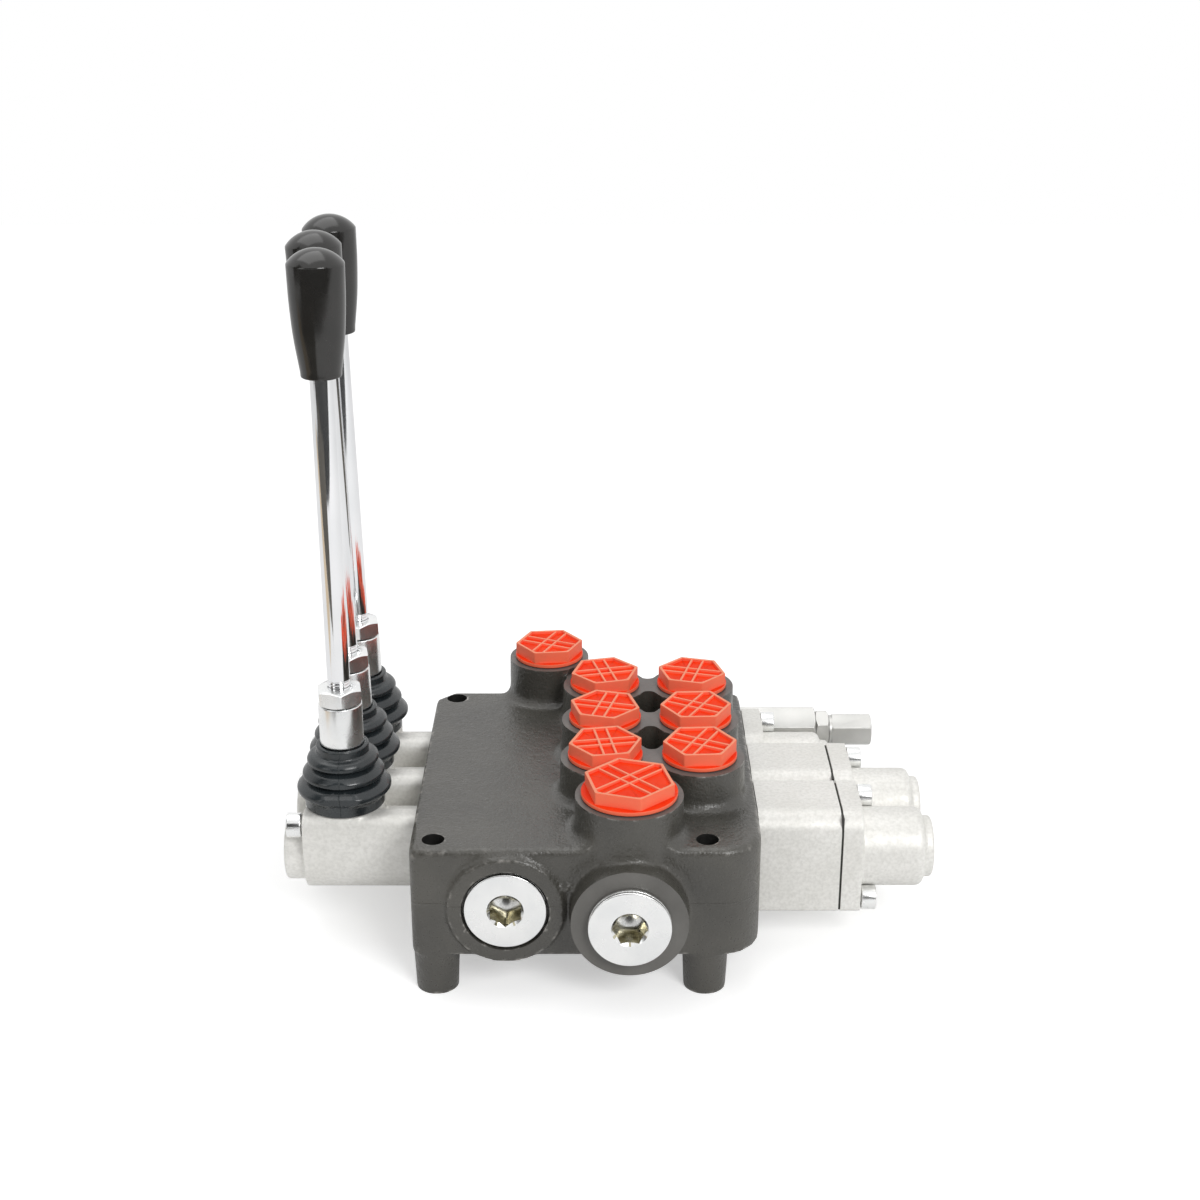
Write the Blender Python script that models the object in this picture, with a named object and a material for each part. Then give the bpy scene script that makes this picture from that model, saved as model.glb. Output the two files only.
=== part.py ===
"""Three-spool hydraulic monoblock valve with hand levers, in metres, +Z up.

X runs along the spools (levers at -X, spring caps at +X), Y runs from the front plugs to the rear,
and the feet stand on z = 0. The origin is the middle of the footprint.
"""

import math

import bmesh
import bpy
from mathutils import Matrix

MM = 0.001

# Fits
CLEARANCE = 0.3 * MM  # gap between pieces that seat on, screw into or slide in each other
SCREW_HOLE_PLAY = 0.3 * MM
LEAST_COIL_GAP = 0.4 * MM

# Spools
SPOOL_PITCH = 35 * MM
SPOOL_COUNT = 3
SPOOL_AXIS_Z = 38.5 * MM
SPOOL_RADIUS = 7 * MM
SPOOL_LEFT = -114 * MM
SPOOL_GROOVE_RADIUS = 5 * MM
SPOOL_GROOVE_WIDTH = 9 * MM
SPOOL_GROOVE_PLACES = (-40 * MM, -10 * MM, 20 * MM)
SPOOL_END_CHAMFER = 0.6 * MM
BOLT_HOLE_DEPTH = 12 * MM

# Body casting
BODY_LEFT = -73 * MM
BODY_RIGHT = 62.5 * MM
BODY_FRONT_REACH = 50 * MM  # each reach is measured outwards from the nearest outer spool
BODY_REAR_REACH = 25 * MM
BODY_BOTTOM = 18 * MM
PLATE_TOP = 64 * MM
BODY_EDGE = 2 * MM
FRONT_RIGHT_ROUND = 14 * MM
FRONT_LEFT_ROUND = 4 * MM
REAR_RIGHT_ROUND = 6 * MM
REAR_LEFT_CHAMFER = 8 * MM
FOOT_RADIUS = 8.75 * MM
FOOT_DRAFT = 0.5 * MM
FOOT_EDGE = 0.8 * MM
FOOT_ROOT = 8 * MM  # how far a foot or a boss is sunk into the casting that carries it
MOUNT_HOLE_RADIUS = 4.4 * MM
FOOT_LEFT_X = -64 * MM
FOOT_RIGHT_X = 41.2 * MM
FOOT_FRONT_REACH = 41 * MM
FOOT_REAR_REACH = 18.6 * MM

# Ports and their bosses
PORT_A_X = 2.1 * MM
PORT_B_X = 39.9 * MM
PORT_RIM = 79 * MM
BOSS_RADIUS = 18 * MM
BOSS_DRAFT = 0.5 * MM
BOSS_EDGE = 0.8 * MM
WEB_HALF_WIDTH = 6.5 * MM
RIGHT_WALL_X = 57 * MM
RIGHT_WALL_DROP = 3 * MM
PORT_RADIUS = 8.6 * MM
PORT_DEPTH = 13 * MM
PORT_LEAD_IN = 1.6 * MM
TANK_X = 11.3 * MM
TANK_REACH = 32.7 * MM
TANK_BOSS_RADIUS = 21 * MM
TANK_PORT_RADIUS = 10.8 * MM
TANK_WEB_HALF_WIDTH = 11 * MM
INLET_X = -22.7 * MM
INLET_REACH = 26 * MM
INLET_RIM = 81.5 * MM
INLET_BOSS_RADIUS = 17.5 * MM

# Gallery plugs on the front face
TANK_PLUG_Z = 38.5 * MM
TANK_RING_RADIUS = 22.5 * MM
TANK_RING_REACH = 61 * MM
INLET_PLUG_X = -36.3 * MM
INLET_PLUG_Z = 39 * MM
INLET_RING_RADIUS = 22.75 * MM
INLET_RING_REACH = 52.5 * MM
INLET_RECESS_RADIUS = 17 * MM
PLUG_RADIUS = 15.9 * MM
PLUG_THICKNESS = 3.7 * MM
PLUG_THREAD_RADIUS = 12.7 * MM
PLUG_THREAD_LENGTH = 14 * MM
PLUG_EDGE = 0.7 * MM
PLUG_SOCKET = 12 * MM
PLUG_SOCKET_DEPTH = 7 * MM
PLUG_SOCKET_MOUTH = 7.15 * MM
PLUG_TURNS = {"tank_gallery_plug": 30, "inlet_gallery_plug": 0}  # degrees, as screwed home

# Transport caps in the ports
CAP_FLATS = 25.8 * MM
CAP_FLANGE_RADIUS = 15 * MM
TANK_CAP_FLATS = 31.3 * MM
TANK_CAP_FLANGE_RADIUS = 18.75 * MM
CAP_FLANGE = 1.8 * MM
CAP_HEIGHT = 6.8 * MM
CAP_SPIGOT_LENGTH = 10 * MM
CAP_RIM = 1.2 * MM
CAP_RECESS = 1.3 * MM
CAP_RIB = 1 * MM
CAP_RIB_SPACING = 5 * MM
CAP_RIB_DROP = 0.3 * MM
CAP_TURNS = {"a1": 10, "a2": 165, "a3": 14, "b1": 63, "b2": 62, "b3": 165, "inlet": 66, "tank": 43}

# Lever brackets
BRACKET_LENGTH = 45.5 * MM
BRACKET_RADIUS = 16.2 * MM
BRACKET_ARC = 5
LUG_INNER = 5 * MM
LOWER_LUG_BOTTOM = 17.5 * MM
LOWER_LUG_ROUND = 5.3 * MM
UPPER_LUG_TOP = 59 * MM
UPPER_LUG_FRONT_ROUND = 5 * MM
UPPER_LUG_REAR_ROUND = 2 * MM
NOSE_RADIUS = 13.3 * MM
NOSE_LENGTH = 8.5 * MM
NOSE_EDGE = 1.5 * MM
NOSE_WALL = 6 * MM
BOOT_SEAT = 59.2 * MM
SPIGOT_RADIUS = 14 * MM
SPIGOT_TOP = 64.3 * MM
BRACKET_SCREWS = ((-11.2 * MM, 54 * MM), (10.5 * MM, 23 * MM))  # offset from the row, height

# Levers, measured up from the pivot
PIVOT_X = -103 * MM
PIVOT_Z = 58.5 * MM
PIVOT_BALL_RADIUS = 6.5 * MM
ARM_RADIUS = 2.8 * MM
ARM_BALL_RADIUS = 4.5 * MM
NECK_RADIUS = 4.5 * MM
NECK_TOP = 11.5 * MM
SHANK_RADIUS = 8 * MM
SHANK_BOTTOM = 21 * MM
SLEEVE_RADIUS = 8.7 * MM
SLEEVE_BOTTOM = 27.5 * MM
SLEEVE_TOP = 44.5 * MM
SLEEVE_EDGE = 0.6 * MM
NUT_FLATS = 16.5 * MM
NUT_HEIGHT = 6.5 * MM
ROD_RADIUS = 4.5 * MM
ROD_IN_SLEEVE = 14 * MM
ROD_IN_KNOB = 25 * MM
ROD_EDGE = 0.7 * MM
KNOB_BOTTOM = 177 * MM
KNOB_LENGTH = 47.5 * MM
KNOB_NECK_RADIUS = 7.65 * MM
KNOB_SIDE = ((9.6 * MM, 15 * MM), (10.5 * MM, 28 * MM))  # radius, height above the knob's mouth
KNOB_RADIUS = 10.7 * MM
KNOB_DOME = 5.5 * MM
KNOB_EDGE = 1 * MM
KNOB_DOME_STEPS = 4
LEVER_LEAN = (0.0, 1.5, 1.2)  # degrees towards -X at rest, from the front row to the rear
SLOT_END_PLAY = 0.5 * MM

# Bellows, heights from the floor
BELLOWS_WALL = 1.5 * MM
BELLOWS_SKIRT_RADIUS = 16 * MM
BELLOWS_SKIRT_TOP = 62.5 * MM
BELLOWS_RIBS = ((18.85 * MM, 67 * MM), (16.4 * MM, 73 * MM), (14.3 * MM, 79 * MM))
BELLOWS_FOLDS = ((14.5 * MM, 70 * MM), (12.4 * MM, 76 * MM))
BELLOWS_COLLAR_RADIUS = 10.5 * MM
BELLOWS_COLLAR_BOTTOM = 82 * MM
BELLOWS_COLLAR_TOP = 85.6 * MM

# Spring boxes and end caps on the right
BOX_LENGTH = 33.8 * MM
BOX_ROWS = (0, 1)
FLANGE_HALF_WIDTH = 16.5 * MM
FLANGE_HALF_HEIGHT = 21.5 * MM
FLANGE_SHOULDER = 8 * MM
FLANGE_FOOT_ROUND = 2 * MM
FLANGE_THICKNESS = 8.4 * MM
CAP_BARREL_RADIUS = 16 * MM
CAP_BARREL_LENGTH = 25.8 * MM
CAP_BARREL_EDGE = 3 * MM
CAP_END_RADIUS = 12.5 * MM
CAP_END_LENGTH = 3.7 * MM
CAP_END_EDGE = 1.2 * MM
CAP_CAVITY_RADIUS = 10.3 * MM
CAP_CAVITY_DEPTH = 20 * MM
CAP_BORE_RADIUS = 7.8 * MM
CAP_BORE_DEPTH = 9 * MM
CAP_SCREWS = ((12.5 * MM, 16 * MM), (-12.5 * MM, -16.5 * MM))  # offset from the row and the axis

# Socket screws
SCREW_RADIUS = 3 * MM
SCREW_HEAD_RADIUS = 5 * MM
SCREW_HEAD = 6 * MM
SCREW_SOCKET = 5 * MM
SCREW_SOCKET_DEPTH = 3 * MM
SCREW_BITE = 12 * MM
SCREW_EDGE = 0.5 * MM

# Centering springs and the bolts that pull them
SPRING_RADIUS = 7.5 * MM
SPRING_WIRE = 3 * MM
SPRING_TURN = 8 * MM
BOLT_RADIUS = 3.5 * MM
BOLT_FLANGE = 3 * MM

# Relief valve at the right rear
RELIEF_REACH = 28 * MM
RELIEF_Z = 44 * MM
GALLERY_RADIUS = 15 * MM
GALLERY_FACE = BODY_RIGHT
RELIEF_HEX = 19.5 * MM
RELIEF_END = 97.6 * MM
RELIEF_THREAD_RADIUS = 8 * MM
RELIEF_THREAD_LENGTH = 18 * MM
RELIEF_BORE_RADIUS = 5 * MM
RELIEF_SEAT_DEPTH = 4 * MM
RELIEF_SEAT_RADIUS = 2.2 * MM
RELIEF_NUT = 15.5 * MM
RELIEF_NUT_LENGTH = 6 * MM
RELIEF_CAP = 13.5 * MM
RELIEF_CAP_LENGTH = 17.6 * MM
RELIEF_CAP_COLLAR = 1.4 * MM
RELIEF_STEM_LENGTH = 21 * MM
POPPET_LENGTH = 8 * MM
RELIEF_SPRING_RADIUS = 3.4 * MM
RELIEF_SPRING_WIRE = 1.6 * MM
RELIEF_SPRING_TURN = 5 * MM
HEX_EDGE = 1.2 * MM

# Facets
ROUND = 16
SMALL_ROUND = 12
PORT_ROUND = 16  # a turned cap has to clear the facets of its port
SCREW_ROUND = 8
COIL_POINTS = 8
COIL_SIDES = 4
BALL_STEPS = 4

SPOOL_BORE = SPOOL_RADIUS + CLEARANCE
ROWS = [(n - (SPOOL_COUNT - 1) / 2) * SPOOL_PITCH for n in range(SPOOL_COUNT)]
BODY_FRONT = ROWS[0] - BODY_FRONT_REACH
BODY_REAR = ROWS[-1] + BODY_REAR_REACH
FOOT_FRONT_Y = ROWS[0] - FOOT_FRONT_REACH
FOOT_REAR_Y = ROWS[-1] + FOOT_REAR_REACH
TANK_Y = ROWS[0] - TANK_REACH
TANK_RING_FACE = ROWS[0] - TANK_RING_REACH
INLET_RING_FACE = ROWS[0] - INLET_RING_REACH
INLET_Y = ROWS[-1] + INLET_REACH
RELIEF_Y = ROWS[-1] + RELIEF_REACH
BRACKET_END = BODY_LEFT - CLEARANCE - BRACKET_LENGTH
NOSE_END = BRACKET_END - NOSE_LENGTH
BOX_RIGHT = BODY_RIGHT + CLEARANCE + BOX_LENGTH
CAP_LENGTH = FLANGE_THICKNESS + CAP_BARREL_LENGTH + CAP_END_LENGTH
ARM_LENGTH = PIVOT_Z - SPOOL_AXIS_Z
SCREW_HOLE = SCREW_RADIUS + SCREW_HOLE_PLAY
ROD_BORE = ROD_RADIUS + CLEARANCE
PLUG_FACE = TANK_RING_FACE - CLEARANCE - PLUG_THICKNESS
KNOB_TOP = KNOB_BOTTOM + KNOB_LENGTH
BELLOWS_SKIRT_BOTTOM = BOOT_SEAT + CLEARANCE
CENTRE_X = (NOSE_END + BOX_RIGHT + CLEARANCE + CAP_LENGTH) / 2
CENTRE_Y = (PLUG_FACE + INLET_Y + INLET_BOSS_RADIUS + BOSS_DRAFT) / 2


# Materials


def finish(name, colour, roughness, metallic):
    material = bpy.data.materials.new(name)
    material.use_nodes = True
    shader = material.node_tree.nodes["Principled BSDF"]
    shader.inputs["Base Color"].default_value = (*colour, 1)
    shader.inputs["Roughness"].default_value = roughness
    shader.inputs["Metallic"].default_value = metallic
    material.diffuse_color = (*colour, 1)
    return material


def make_finishes():
    return {
        "painted_iron": finish("painted_iron", (0.085, 0.08, 0.075), 0.45, 0.0),
        "red_plastic": finish("red_plastic", (0.9, 0.06, 0.02), 0.35, 0.0),
        "cast_aluminium": finish("cast_aluminium", (0.72, 0.71, 0.68), 0.5, 0.8),
        "zinc_steel": finish("zinc_steel", (0.78, 0.78, 0.77), 0.25, 1.0),
        "chrome": finish("chrome", (0.85, 0.85, 0.86), 0.08, 1.0),
        "rubber": finish("rubber", (0.025, 0.027, 0.03), 0.5, 0.0),
        "black_plastic": finish("black_plastic", (0.02, 0.019, 0.018), 0.2, 0.0),
        "spring_steel": finish("spring_steel", (0.45, 0.45, 0.47), 0.3, 1.0),
    }


# Shapes: each of these returns a closed bmesh

TO_AXIS = {
    "X": Matrix.Rotation(math.pi / 2, 3, "Y"),
    "Y": Matrix.Rotation(-math.pi / 2, 3, "X"),
    "Z": Matrix.Identity(3),
}


def outline(corners, arc=3):
    """Points of a polygon whose corners are (u, v, radius); a radius of 0 stays sharp."""
    points = []
    for index, (u, v, radius) in enumerate(corners):
        if radius == 0:
            points.append((u, v))
            continue
        ahead = corners[(index + 1) % len(corners)]
        before = corners[index - 1]
        start = math.atan2(before[1] - v, before[0] - u)
        end = math.atan2(ahead[1] - v, ahead[0] - u)
        turn = (end - start + math.pi) % (2 * math.pi) - math.pi
        reach = radius / math.sin(abs(turn) / 2)
        middle = start + turn / 2
        centre = (u + reach * math.cos(middle), v + reach * math.sin(middle))
        sweep = math.copysign(math.pi - abs(turn), turn)
        first = middle + math.pi + sweep / 2
        for step in range(arc + 1):
            angle = first - sweep * step / arc
            points.append((centre[0] + radius * math.cos(angle), centre[1] + radius * math.sin(angle)))
    return points


def hexagon(flats, turn=0.0):
    radius = flats / math.sqrt(3)
    angles = [math.radians(60 * n + turn) for n in range(6)]
    return [(radius * math.cos(a), radius * math.sin(a)) for a in angles]


def prism(points, low, high, axis="Z"):
    """An outline pushed along an axis. Outlines across X are (y, z), across Y (x, z), across Z (x, y)."""
    place = {
        "X": lambda u, v, along: (along, u, v),
        "Y": lambda u, v, along: (u, along, v),
        "Z": lambda u, v, along: (u, v, along),
    }[axis]
    shape = bmesh.new()
    face = shape.faces.new([shape.verts.new(place(u, v, low)) for u, v in points])
    pushed = bmesh.ops.extrude_face_region(shape, geom=[face])["geom"]
    corners = [item for item in pushed if isinstance(item, bmesh.types.BMVert)]
    bmesh.ops.translate(shape, verts=corners, vec=place(0, 0, high - low))
    bmesh.ops.recalc_face_normals(shape, faces=shape.faces)
    return shape


def turned(profile, axis="Z", centre=(0, 0, 0), steps=ROUND, hollow=False):
    """A solid of revolution from (radius, along) points; a hollow one closes its profile on itself."""
    shape = bmesh.new()
    points = [shape.verts.new((radius, 0, along)) for radius, along in profile]
    pairs = list(zip(points, points[1:]))
    if hollow:
        pairs.append((points[-1], points[0]))
    edges = [shape.edges.new(pair) for pair in pairs]
    bmesh.ops.spin(
        shape, geom=points + edges, cent=(0, 0, 0), axis=(0, 0, 1), angle=2 * math.pi, steps=steps
    )
    bmesh.ops.remove_doubles(shape, verts=shape.verts, dist=0.001 * MM)
    bmesh.ops.recalc_face_normals(shape, faces=shape.faces)
    bmesh.ops.transform(shape, matrix=TO_AXIS[axis].to_4x4(), verts=shape.verts)
    bmesh.ops.translate(shape, verts=shape.verts, vec=centre)
    return shape


def rod(radius, low, high, axis="Z", centre=(0, 0, 0), steps=ROUND):
    return turned([(0, low), (radius, low), (radius, high), (0, high)], axis, centre, steps)


def arc_profile(radius, centre, first, last, steps):
    """Profile points on a ball: angles are measured from the axis, in degrees, bottom to top."""
    points = []
    for step in range(steps + 1):
        angle = math.radians(first + (last - first) * step / steps)
        points.append((radius * math.sin(angle), centre - radius * math.cos(angle)))
    return points


def coil(radius, wire, low, high, turn, centre):
    """One unbroken round wire along X, with the gap between its turns printed."""
    start = low + wire / 2
    turns = round((high - low - wire) / turn)
    rise = (high - low - wire) / turns
    shape = bmesh.new()
    rings = []
    count = turns * COIL_POINTS
    for step in range(count + 1):
        angle = 2 * math.pi * step / COIL_POINTS
        ring = []
        for side in range(COIL_SIDES):
            around = 2 * math.pi * side / COIL_SIDES
            out = radius + wire / 2 * math.cos(around)
            along = start + rise * step / COIL_POINTS + wire / 2 * math.sin(around)
            place = (
                centre[0] + along,
                centre[1] + out * math.cos(angle),
                centre[2] + out * math.sin(angle),
            )
            ring.append(shape.verts.new(place))
        rings.append(ring)
    for first, second in zip(rings, rings[1:]):
        for side in range(COIL_SIDES):
            after = (side + 1) % COIL_SIDES
            shape.faces.new((first[side], first[after], second[after], second[side]))
    shape.faces.new(rings[0])
    shape.faces.new(rings[-1])
    bmesh.ops.recalc_face_normals(shape, faces=shape.faces)
    gap = rise - wire
    print(f"coil of {turns} turns, least gap {gap / MM:.2f} mm, over {LEAST_COIL_GAP / MM:.1f}")
    return shape


def web(start, end, half_width, low, high):
    """A flat-topped wall between two points in plan."""
    length = math.dist(start, end)
    across = ((end[1] - start[1]) / length * half_width, (start[0] - end[0]) / length * half_width)
    corners = [
        (start[0] - across[0], start[1] - across[1]),
        (end[0] - across[0], end[1] - across[1]),
        (end[0] + across[0], end[1] + across[1]),
        (start[0] + across[0], start[1] + across[1]),
    ]
    return prism(corners, low, high)


# Pieces


def mesh_of(shape, name):
    mesh = bpy.data.meshes.new(name)
    shape.to_mesh(mesh)
    shape.free()
    return mesh


def carved(name, base, joined=(), removed=(), solver="EXACT"):
    """One mesh: the base with shapes joined to it, and then shapes cut away from it."""
    scene = bpy.context.scene.collection
    work = bpy.data.objects.new(name, mesh_of(base, name))
    scene.objects.link(work)
    tools = []
    for operation, shapes in (("UNION", joined), ("DIFFERENCE", removed)):
        for shape in shapes:
            tool = bpy.data.objects.new(name + "_tool", mesh_of(shape, name + "_tool"))
            scene.objects.link(tool)
            tools.append(tool)
            step = work.modifiers.new(operation.lower(), "BOOLEAN")
            step.operation = operation
            step.solver = solver
            step.object = tool
    graph = bpy.context.evaluated_depsgraph_get()
    mesh = bpy.data.meshes.new_from_object(work.evaluated_get(graph))
    mesh.name = name
    for obj in [work, *tools]:
        spare = obj.data
        bpy.data.objects.remove(obj)
        bpy.data.meshes.remove(spare)
    return mesh


def piece(name, mesh, material, parent, location=(0, 0, 0)):
    """A named object. Pieces made alike share one mesh."""
    if isinstance(mesh, bmesh.types.BMesh):
        mesh = mesh_of(mesh, name)
    if not mesh.materials:
        mesh.materials.append(material)
        mesh.shade_smooth()
        mesh.set_sharp_from_angle(angle=math.radians(35))
    obj = bpy.data.objects.new(name, mesh)
    bpy.context.scene.collection.objects.link(obj)
    obj.parent = parent
    obj.location = location
    return obj


def empty(name, parent=None, location=(0, 0, 0), turn=0.0):
    obj = bpy.data.objects.new(name, None)
    obj.empty_display_size = 10 * MM
    bpy.context.scene.collection.objects.link(obj)
    obj.parent = parent
    obj.location = location
    obj.rotation_euler = (0, math.radians(turn), 0)
    return obj


# Body casting


def boss(x, y, radius, rim, low):
    profile = [
        (0, low),
        (radius + BOSS_DRAFT, low),
        (radius, rim - BOSS_EDGE),
        (radius - BOSS_EDGE, rim),
        (0, rim),
    ]
    return turned(profile, "Z", (x, y, 0))


def port_bore(x, y, radius, rim):
    mouth = radius + PORT_LEAD_IN
    profile = [
        (0, rim - PORT_DEPTH),
        (radius, rim - PORT_DEPTH),
        (radius, rim - PORT_LEAD_IN),
        (mouth, rim),
        (mouth, rim + FOOT_ROOT),
        (0, rim + FOOT_ROOT),
    ]
    return turned(profile, "Z", (x, y, 0), PORT_ROUND)


def foot(x, y):
    profile = [
        (0, 0),
        (FOOT_RADIUS - FOOT_DRAFT - FOOT_EDGE, 0),
        (FOOT_RADIUS - FOOT_DRAFT, FOOT_EDGE),
        (FOOT_RADIUS, BODY_BOTTOM),
        (FOOT_RADIUS, BODY_BOTTOM + FOOT_ROOT),
        (0, BODY_BOTTOM + FOOT_ROOT),
    ]
    return turned(profile, "Z", (x, y, 0))


def ring_boss(x, z, radius, face):
    profile = [
        (0, face),
        (radius - BOSS_EDGE, face),
        (radius, face + BOSS_EDGE),
        (radius, BODY_FRONT + 2 * FOOT_ROOT),
        (0, BODY_FRONT + 2 * FOOT_ROOT),
    ]
    return turned(profile, "Y", (x, 0, z))


def body_block():
    plan = outline(
        [
            (BODY_LEFT, BODY_FRONT, FRONT_LEFT_ROUND),
            (BODY_RIGHT, BODY_FRONT, FRONT_RIGHT_ROUND),
            (BODY_RIGHT, BODY_REAR, REAR_RIGHT_ROUND),
            (BODY_LEFT + REAR_LEFT_CHAMFER, BODY_REAR, 0),
            (BODY_LEFT, BODY_REAR - REAR_LEFT_CHAMFER, 0),
        ]
    )
    block = prism(plan, BODY_BOTTOM, PLATE_TOP)
    flat = [edge for edge in block.edges if abs(edge.verts[0].co.z - edge.verts[1].co.z) < CLEARANCE]
    bmesh.ops.bevel(block, geom=flat, offset=BODY_EDGE, segments=2, profile=0.5, affect="EDGES")
    return block


def make_body(finishes, root):
    sunk = PLATE_TOP - FOOT_ROOT
    mount_feet = [
        (FOOT_LEFT_X, FOOT_FRONT_Y),
        (FOOT_RIGHT_X, FOOT_FRONT_Y),
        (FOOT_LEFT_X, FOOT_REAR_Y),
    ]
    joined = [foot(x, y) for x, y in [*mount_feet, (FOOT_RIGHT_X, FOOT_REAR_Y)]]
    removed = [
        rod(MOUNT_HOLE_RADIUS, -FOOT_ROOT, PORT_RIM, "Z", (x, y, 0), SMALL_ROUND) for x, y in mount_feet
    ]
    for row in ROWS:
        for x in (PORT_A_X, PORT_B_X):
            joined.append(boss(x, row, BOSS_RADIUS, PORT_RIM, sunk))
            removed.append(port_bore(x, row, PORT_RADIUS, PORT_RIM))
        joined.append(web((PORT_A_X, row), (PORT_B_X, row), WEB_HALF_WIDTH, sunk, PORT_RIM))
        removed.append(
            rod(SPOOL_BORE, BODY_LEFT - FOOT_ROOT, BODY_RIGHT + FOOT_ROOT, "X", (0, row, SPOOL_AXIS_Z))
        )
        for across, height in BRACKET_SCREWS:
            tapped = (0, row + across, height)
            end = BODY_LEFT + SCREW_BITE + CLEARANCE
            removed.append(rod(SCREW_HOLE, BODY_LEFT - FOOT_ROOT, end, "X", tapped, SCREW_ROUND))
        for across, height in CAP_SCREWS:
            tapped = (0, row + across, SPOOL_AXIS_Z + height)
            end = BODY_RIGHT - SCREW_BITE - CLEARANCE
            removed.append(rod(SCREW_HOLE, end, BODY_RIGHT + FOOT_ROOT, "X", tapped, SCREW_ROUND))
    wall = [(PORT_B_X, ROWS[0]), (RIGHT_WALL_X, ROWS[0]), (RIGHT_WALL_X, ROWS[-1]), (PORT_B_X, ROWS[-1])]
    low = BODY_BOTTOM + FOOT_ROOT
    inlet_foot = (INLET_X, INLET_Y)
    joined += [
        prism(wall, sunk, PORT_RIM - RIGHT_WALL_DROP),
        boss(TANK_X, TANK_Y, TANK_BOSS_RADIUS, PORT_RIM, low),
        web((TANK_X, TANK_Y), (TANK_X, ROWS[0]), TANK_WEB_HALF_WIDTH, sunk, PORT_RIM),
        boss(INLET_X, INLET_Y, INLET_BOSS_RADIUS, INLET_RIM, low),
        web(inlet_foot, (PORT_A_X, ROWS[-1]), WEB_HALF_WIDTH, sunk, min(PORT_RIM, INLET_RIM) - BOSS_EDGE),
        ring_boss(TANK_X, TANK_PLUG_Z, TANK_RING_RADIUS, TANK_RING_FACE),
        ring_boss(INLET_PLUG_X, INLET_PLUG_Z, INLET_RING_RADIUS, INLET_RING_FACE),
        rod(GALLERY_RADIUS, INLET_X, GALLERY_FACE, "X", (0, RELIEF_Y, RELIEF_Z)),
    ]
    thread = PLUG_THREAD_RADIUS + CLEARANCE
    seat = INLET_RING_FACE + PLUG_THICKNESS + CLEARANCE
    deep = PLUG_THREAD_LENGTH + CLEARANCE
    relief_end = GALLERY_FACE - RELIEF_THREAD_LENGTH - CLEARANCE
    inlet_axis = (INLET_PLUG_X, 0, INLET_PLUG_Z)
    removed += [
        port_bore(TANK_X, TANK_Y, TANK_PORT_RADIUS, PORT_RIM),
        port_bore(INLET_X, INLET_Y, PORT_RADIUS, INLET_RIM),
        rod(thread, PLUG_FACE, TANK_RING_FACE + deep, "Y", (TANK_X, 0, TANK_PLUG_Z)),
        rod(INLET_RECESS_RADIUS, PLUG_FACE, seat, "Y", inlet_axis),
        rod(thread, PLUG_FACE, seat + deep, "Y", inlet_axis),
        rod(
            RELIEF_THREAD_RADIUS + CLEARANCE,
            relief_end,
            GALLERY_FACE + FOOT_ROOT,
            "X",
            (0, RELIEF_Y, RELIEF_Z),
            SMALL_ROUND,
        ),
    ]
    # The bosses cross in so many planes that the exact solver leaves open edges here.
    mesh = carved("valve_body", body_block(), joined, removed, "MANIFOLD")
    piece("valve_body", mesh, finishes["painted_iron"], root)


# Plugs and transport caps


def make_gallery_plugs(finishes, root):
    seats = {
        "tank_gallery_plug": (TANK_X, TANK_RING_FACE, TANK_PLUG_Z),
        "inlet_gallery_plug": (INLET_PLUG_X, INLET_RING_FACE + PLUG_THICKNESS + CLEARANCE, INLET_PLUG_Z),
    }
    back = -CLEARANCE
    face = back - PLUG_THICKNESS
    profile = [
        (0, face),
        (PLUG_RADIUS - PLUG_EDGE, face),
        (PLUG_RADIUS, face + PLUG_EDGE),
        (PLUG_RADIUS, back),
        (PLUG_THREAD_RADIUS, back),
        (PLUG_THREAD_RADIUS, PLUG_THREAD_LENGTH - PLUG_EDGE),
        (PLUG_THREAD_RADIUS - PLUG_EDGE, PLUG_THREAD_LENGTH),
        (0, PLUG_THREAD_LENGTH),
    ]
    socket = prism(hexagon(PLUG_SOCKET, 30), face - PLUG_EDGE, face + PLUG_SOCKET_DEPTH, "Y")
    across_corners = PLUG_SOCKET / math.sqrt(3)
    flare = PLUG_SOCKET_MOUTH - across_corners + PLUG_EDGE
    mouth = turned(
        [
            (0, face - PLUG_EDGE),
            (PLUG_SOCKET_MOUTH + PLUG_EDGE, face - PLUG_EDGE),
            (PLUG_SOCKET / 2, face + flare),
            (0, face + flare),
        ],
        "Y",
    )
    mesh = carved("gallery_plug", turned(profile, "Y"), removed=[socket, mouth])
    for name, seat in seats.items():
        plug = piece(name, mesh, finishes["zinc_steel"], root, seat)
        plug.rotation_euler.y = math.radians(PLUG_TURNS[name])


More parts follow.
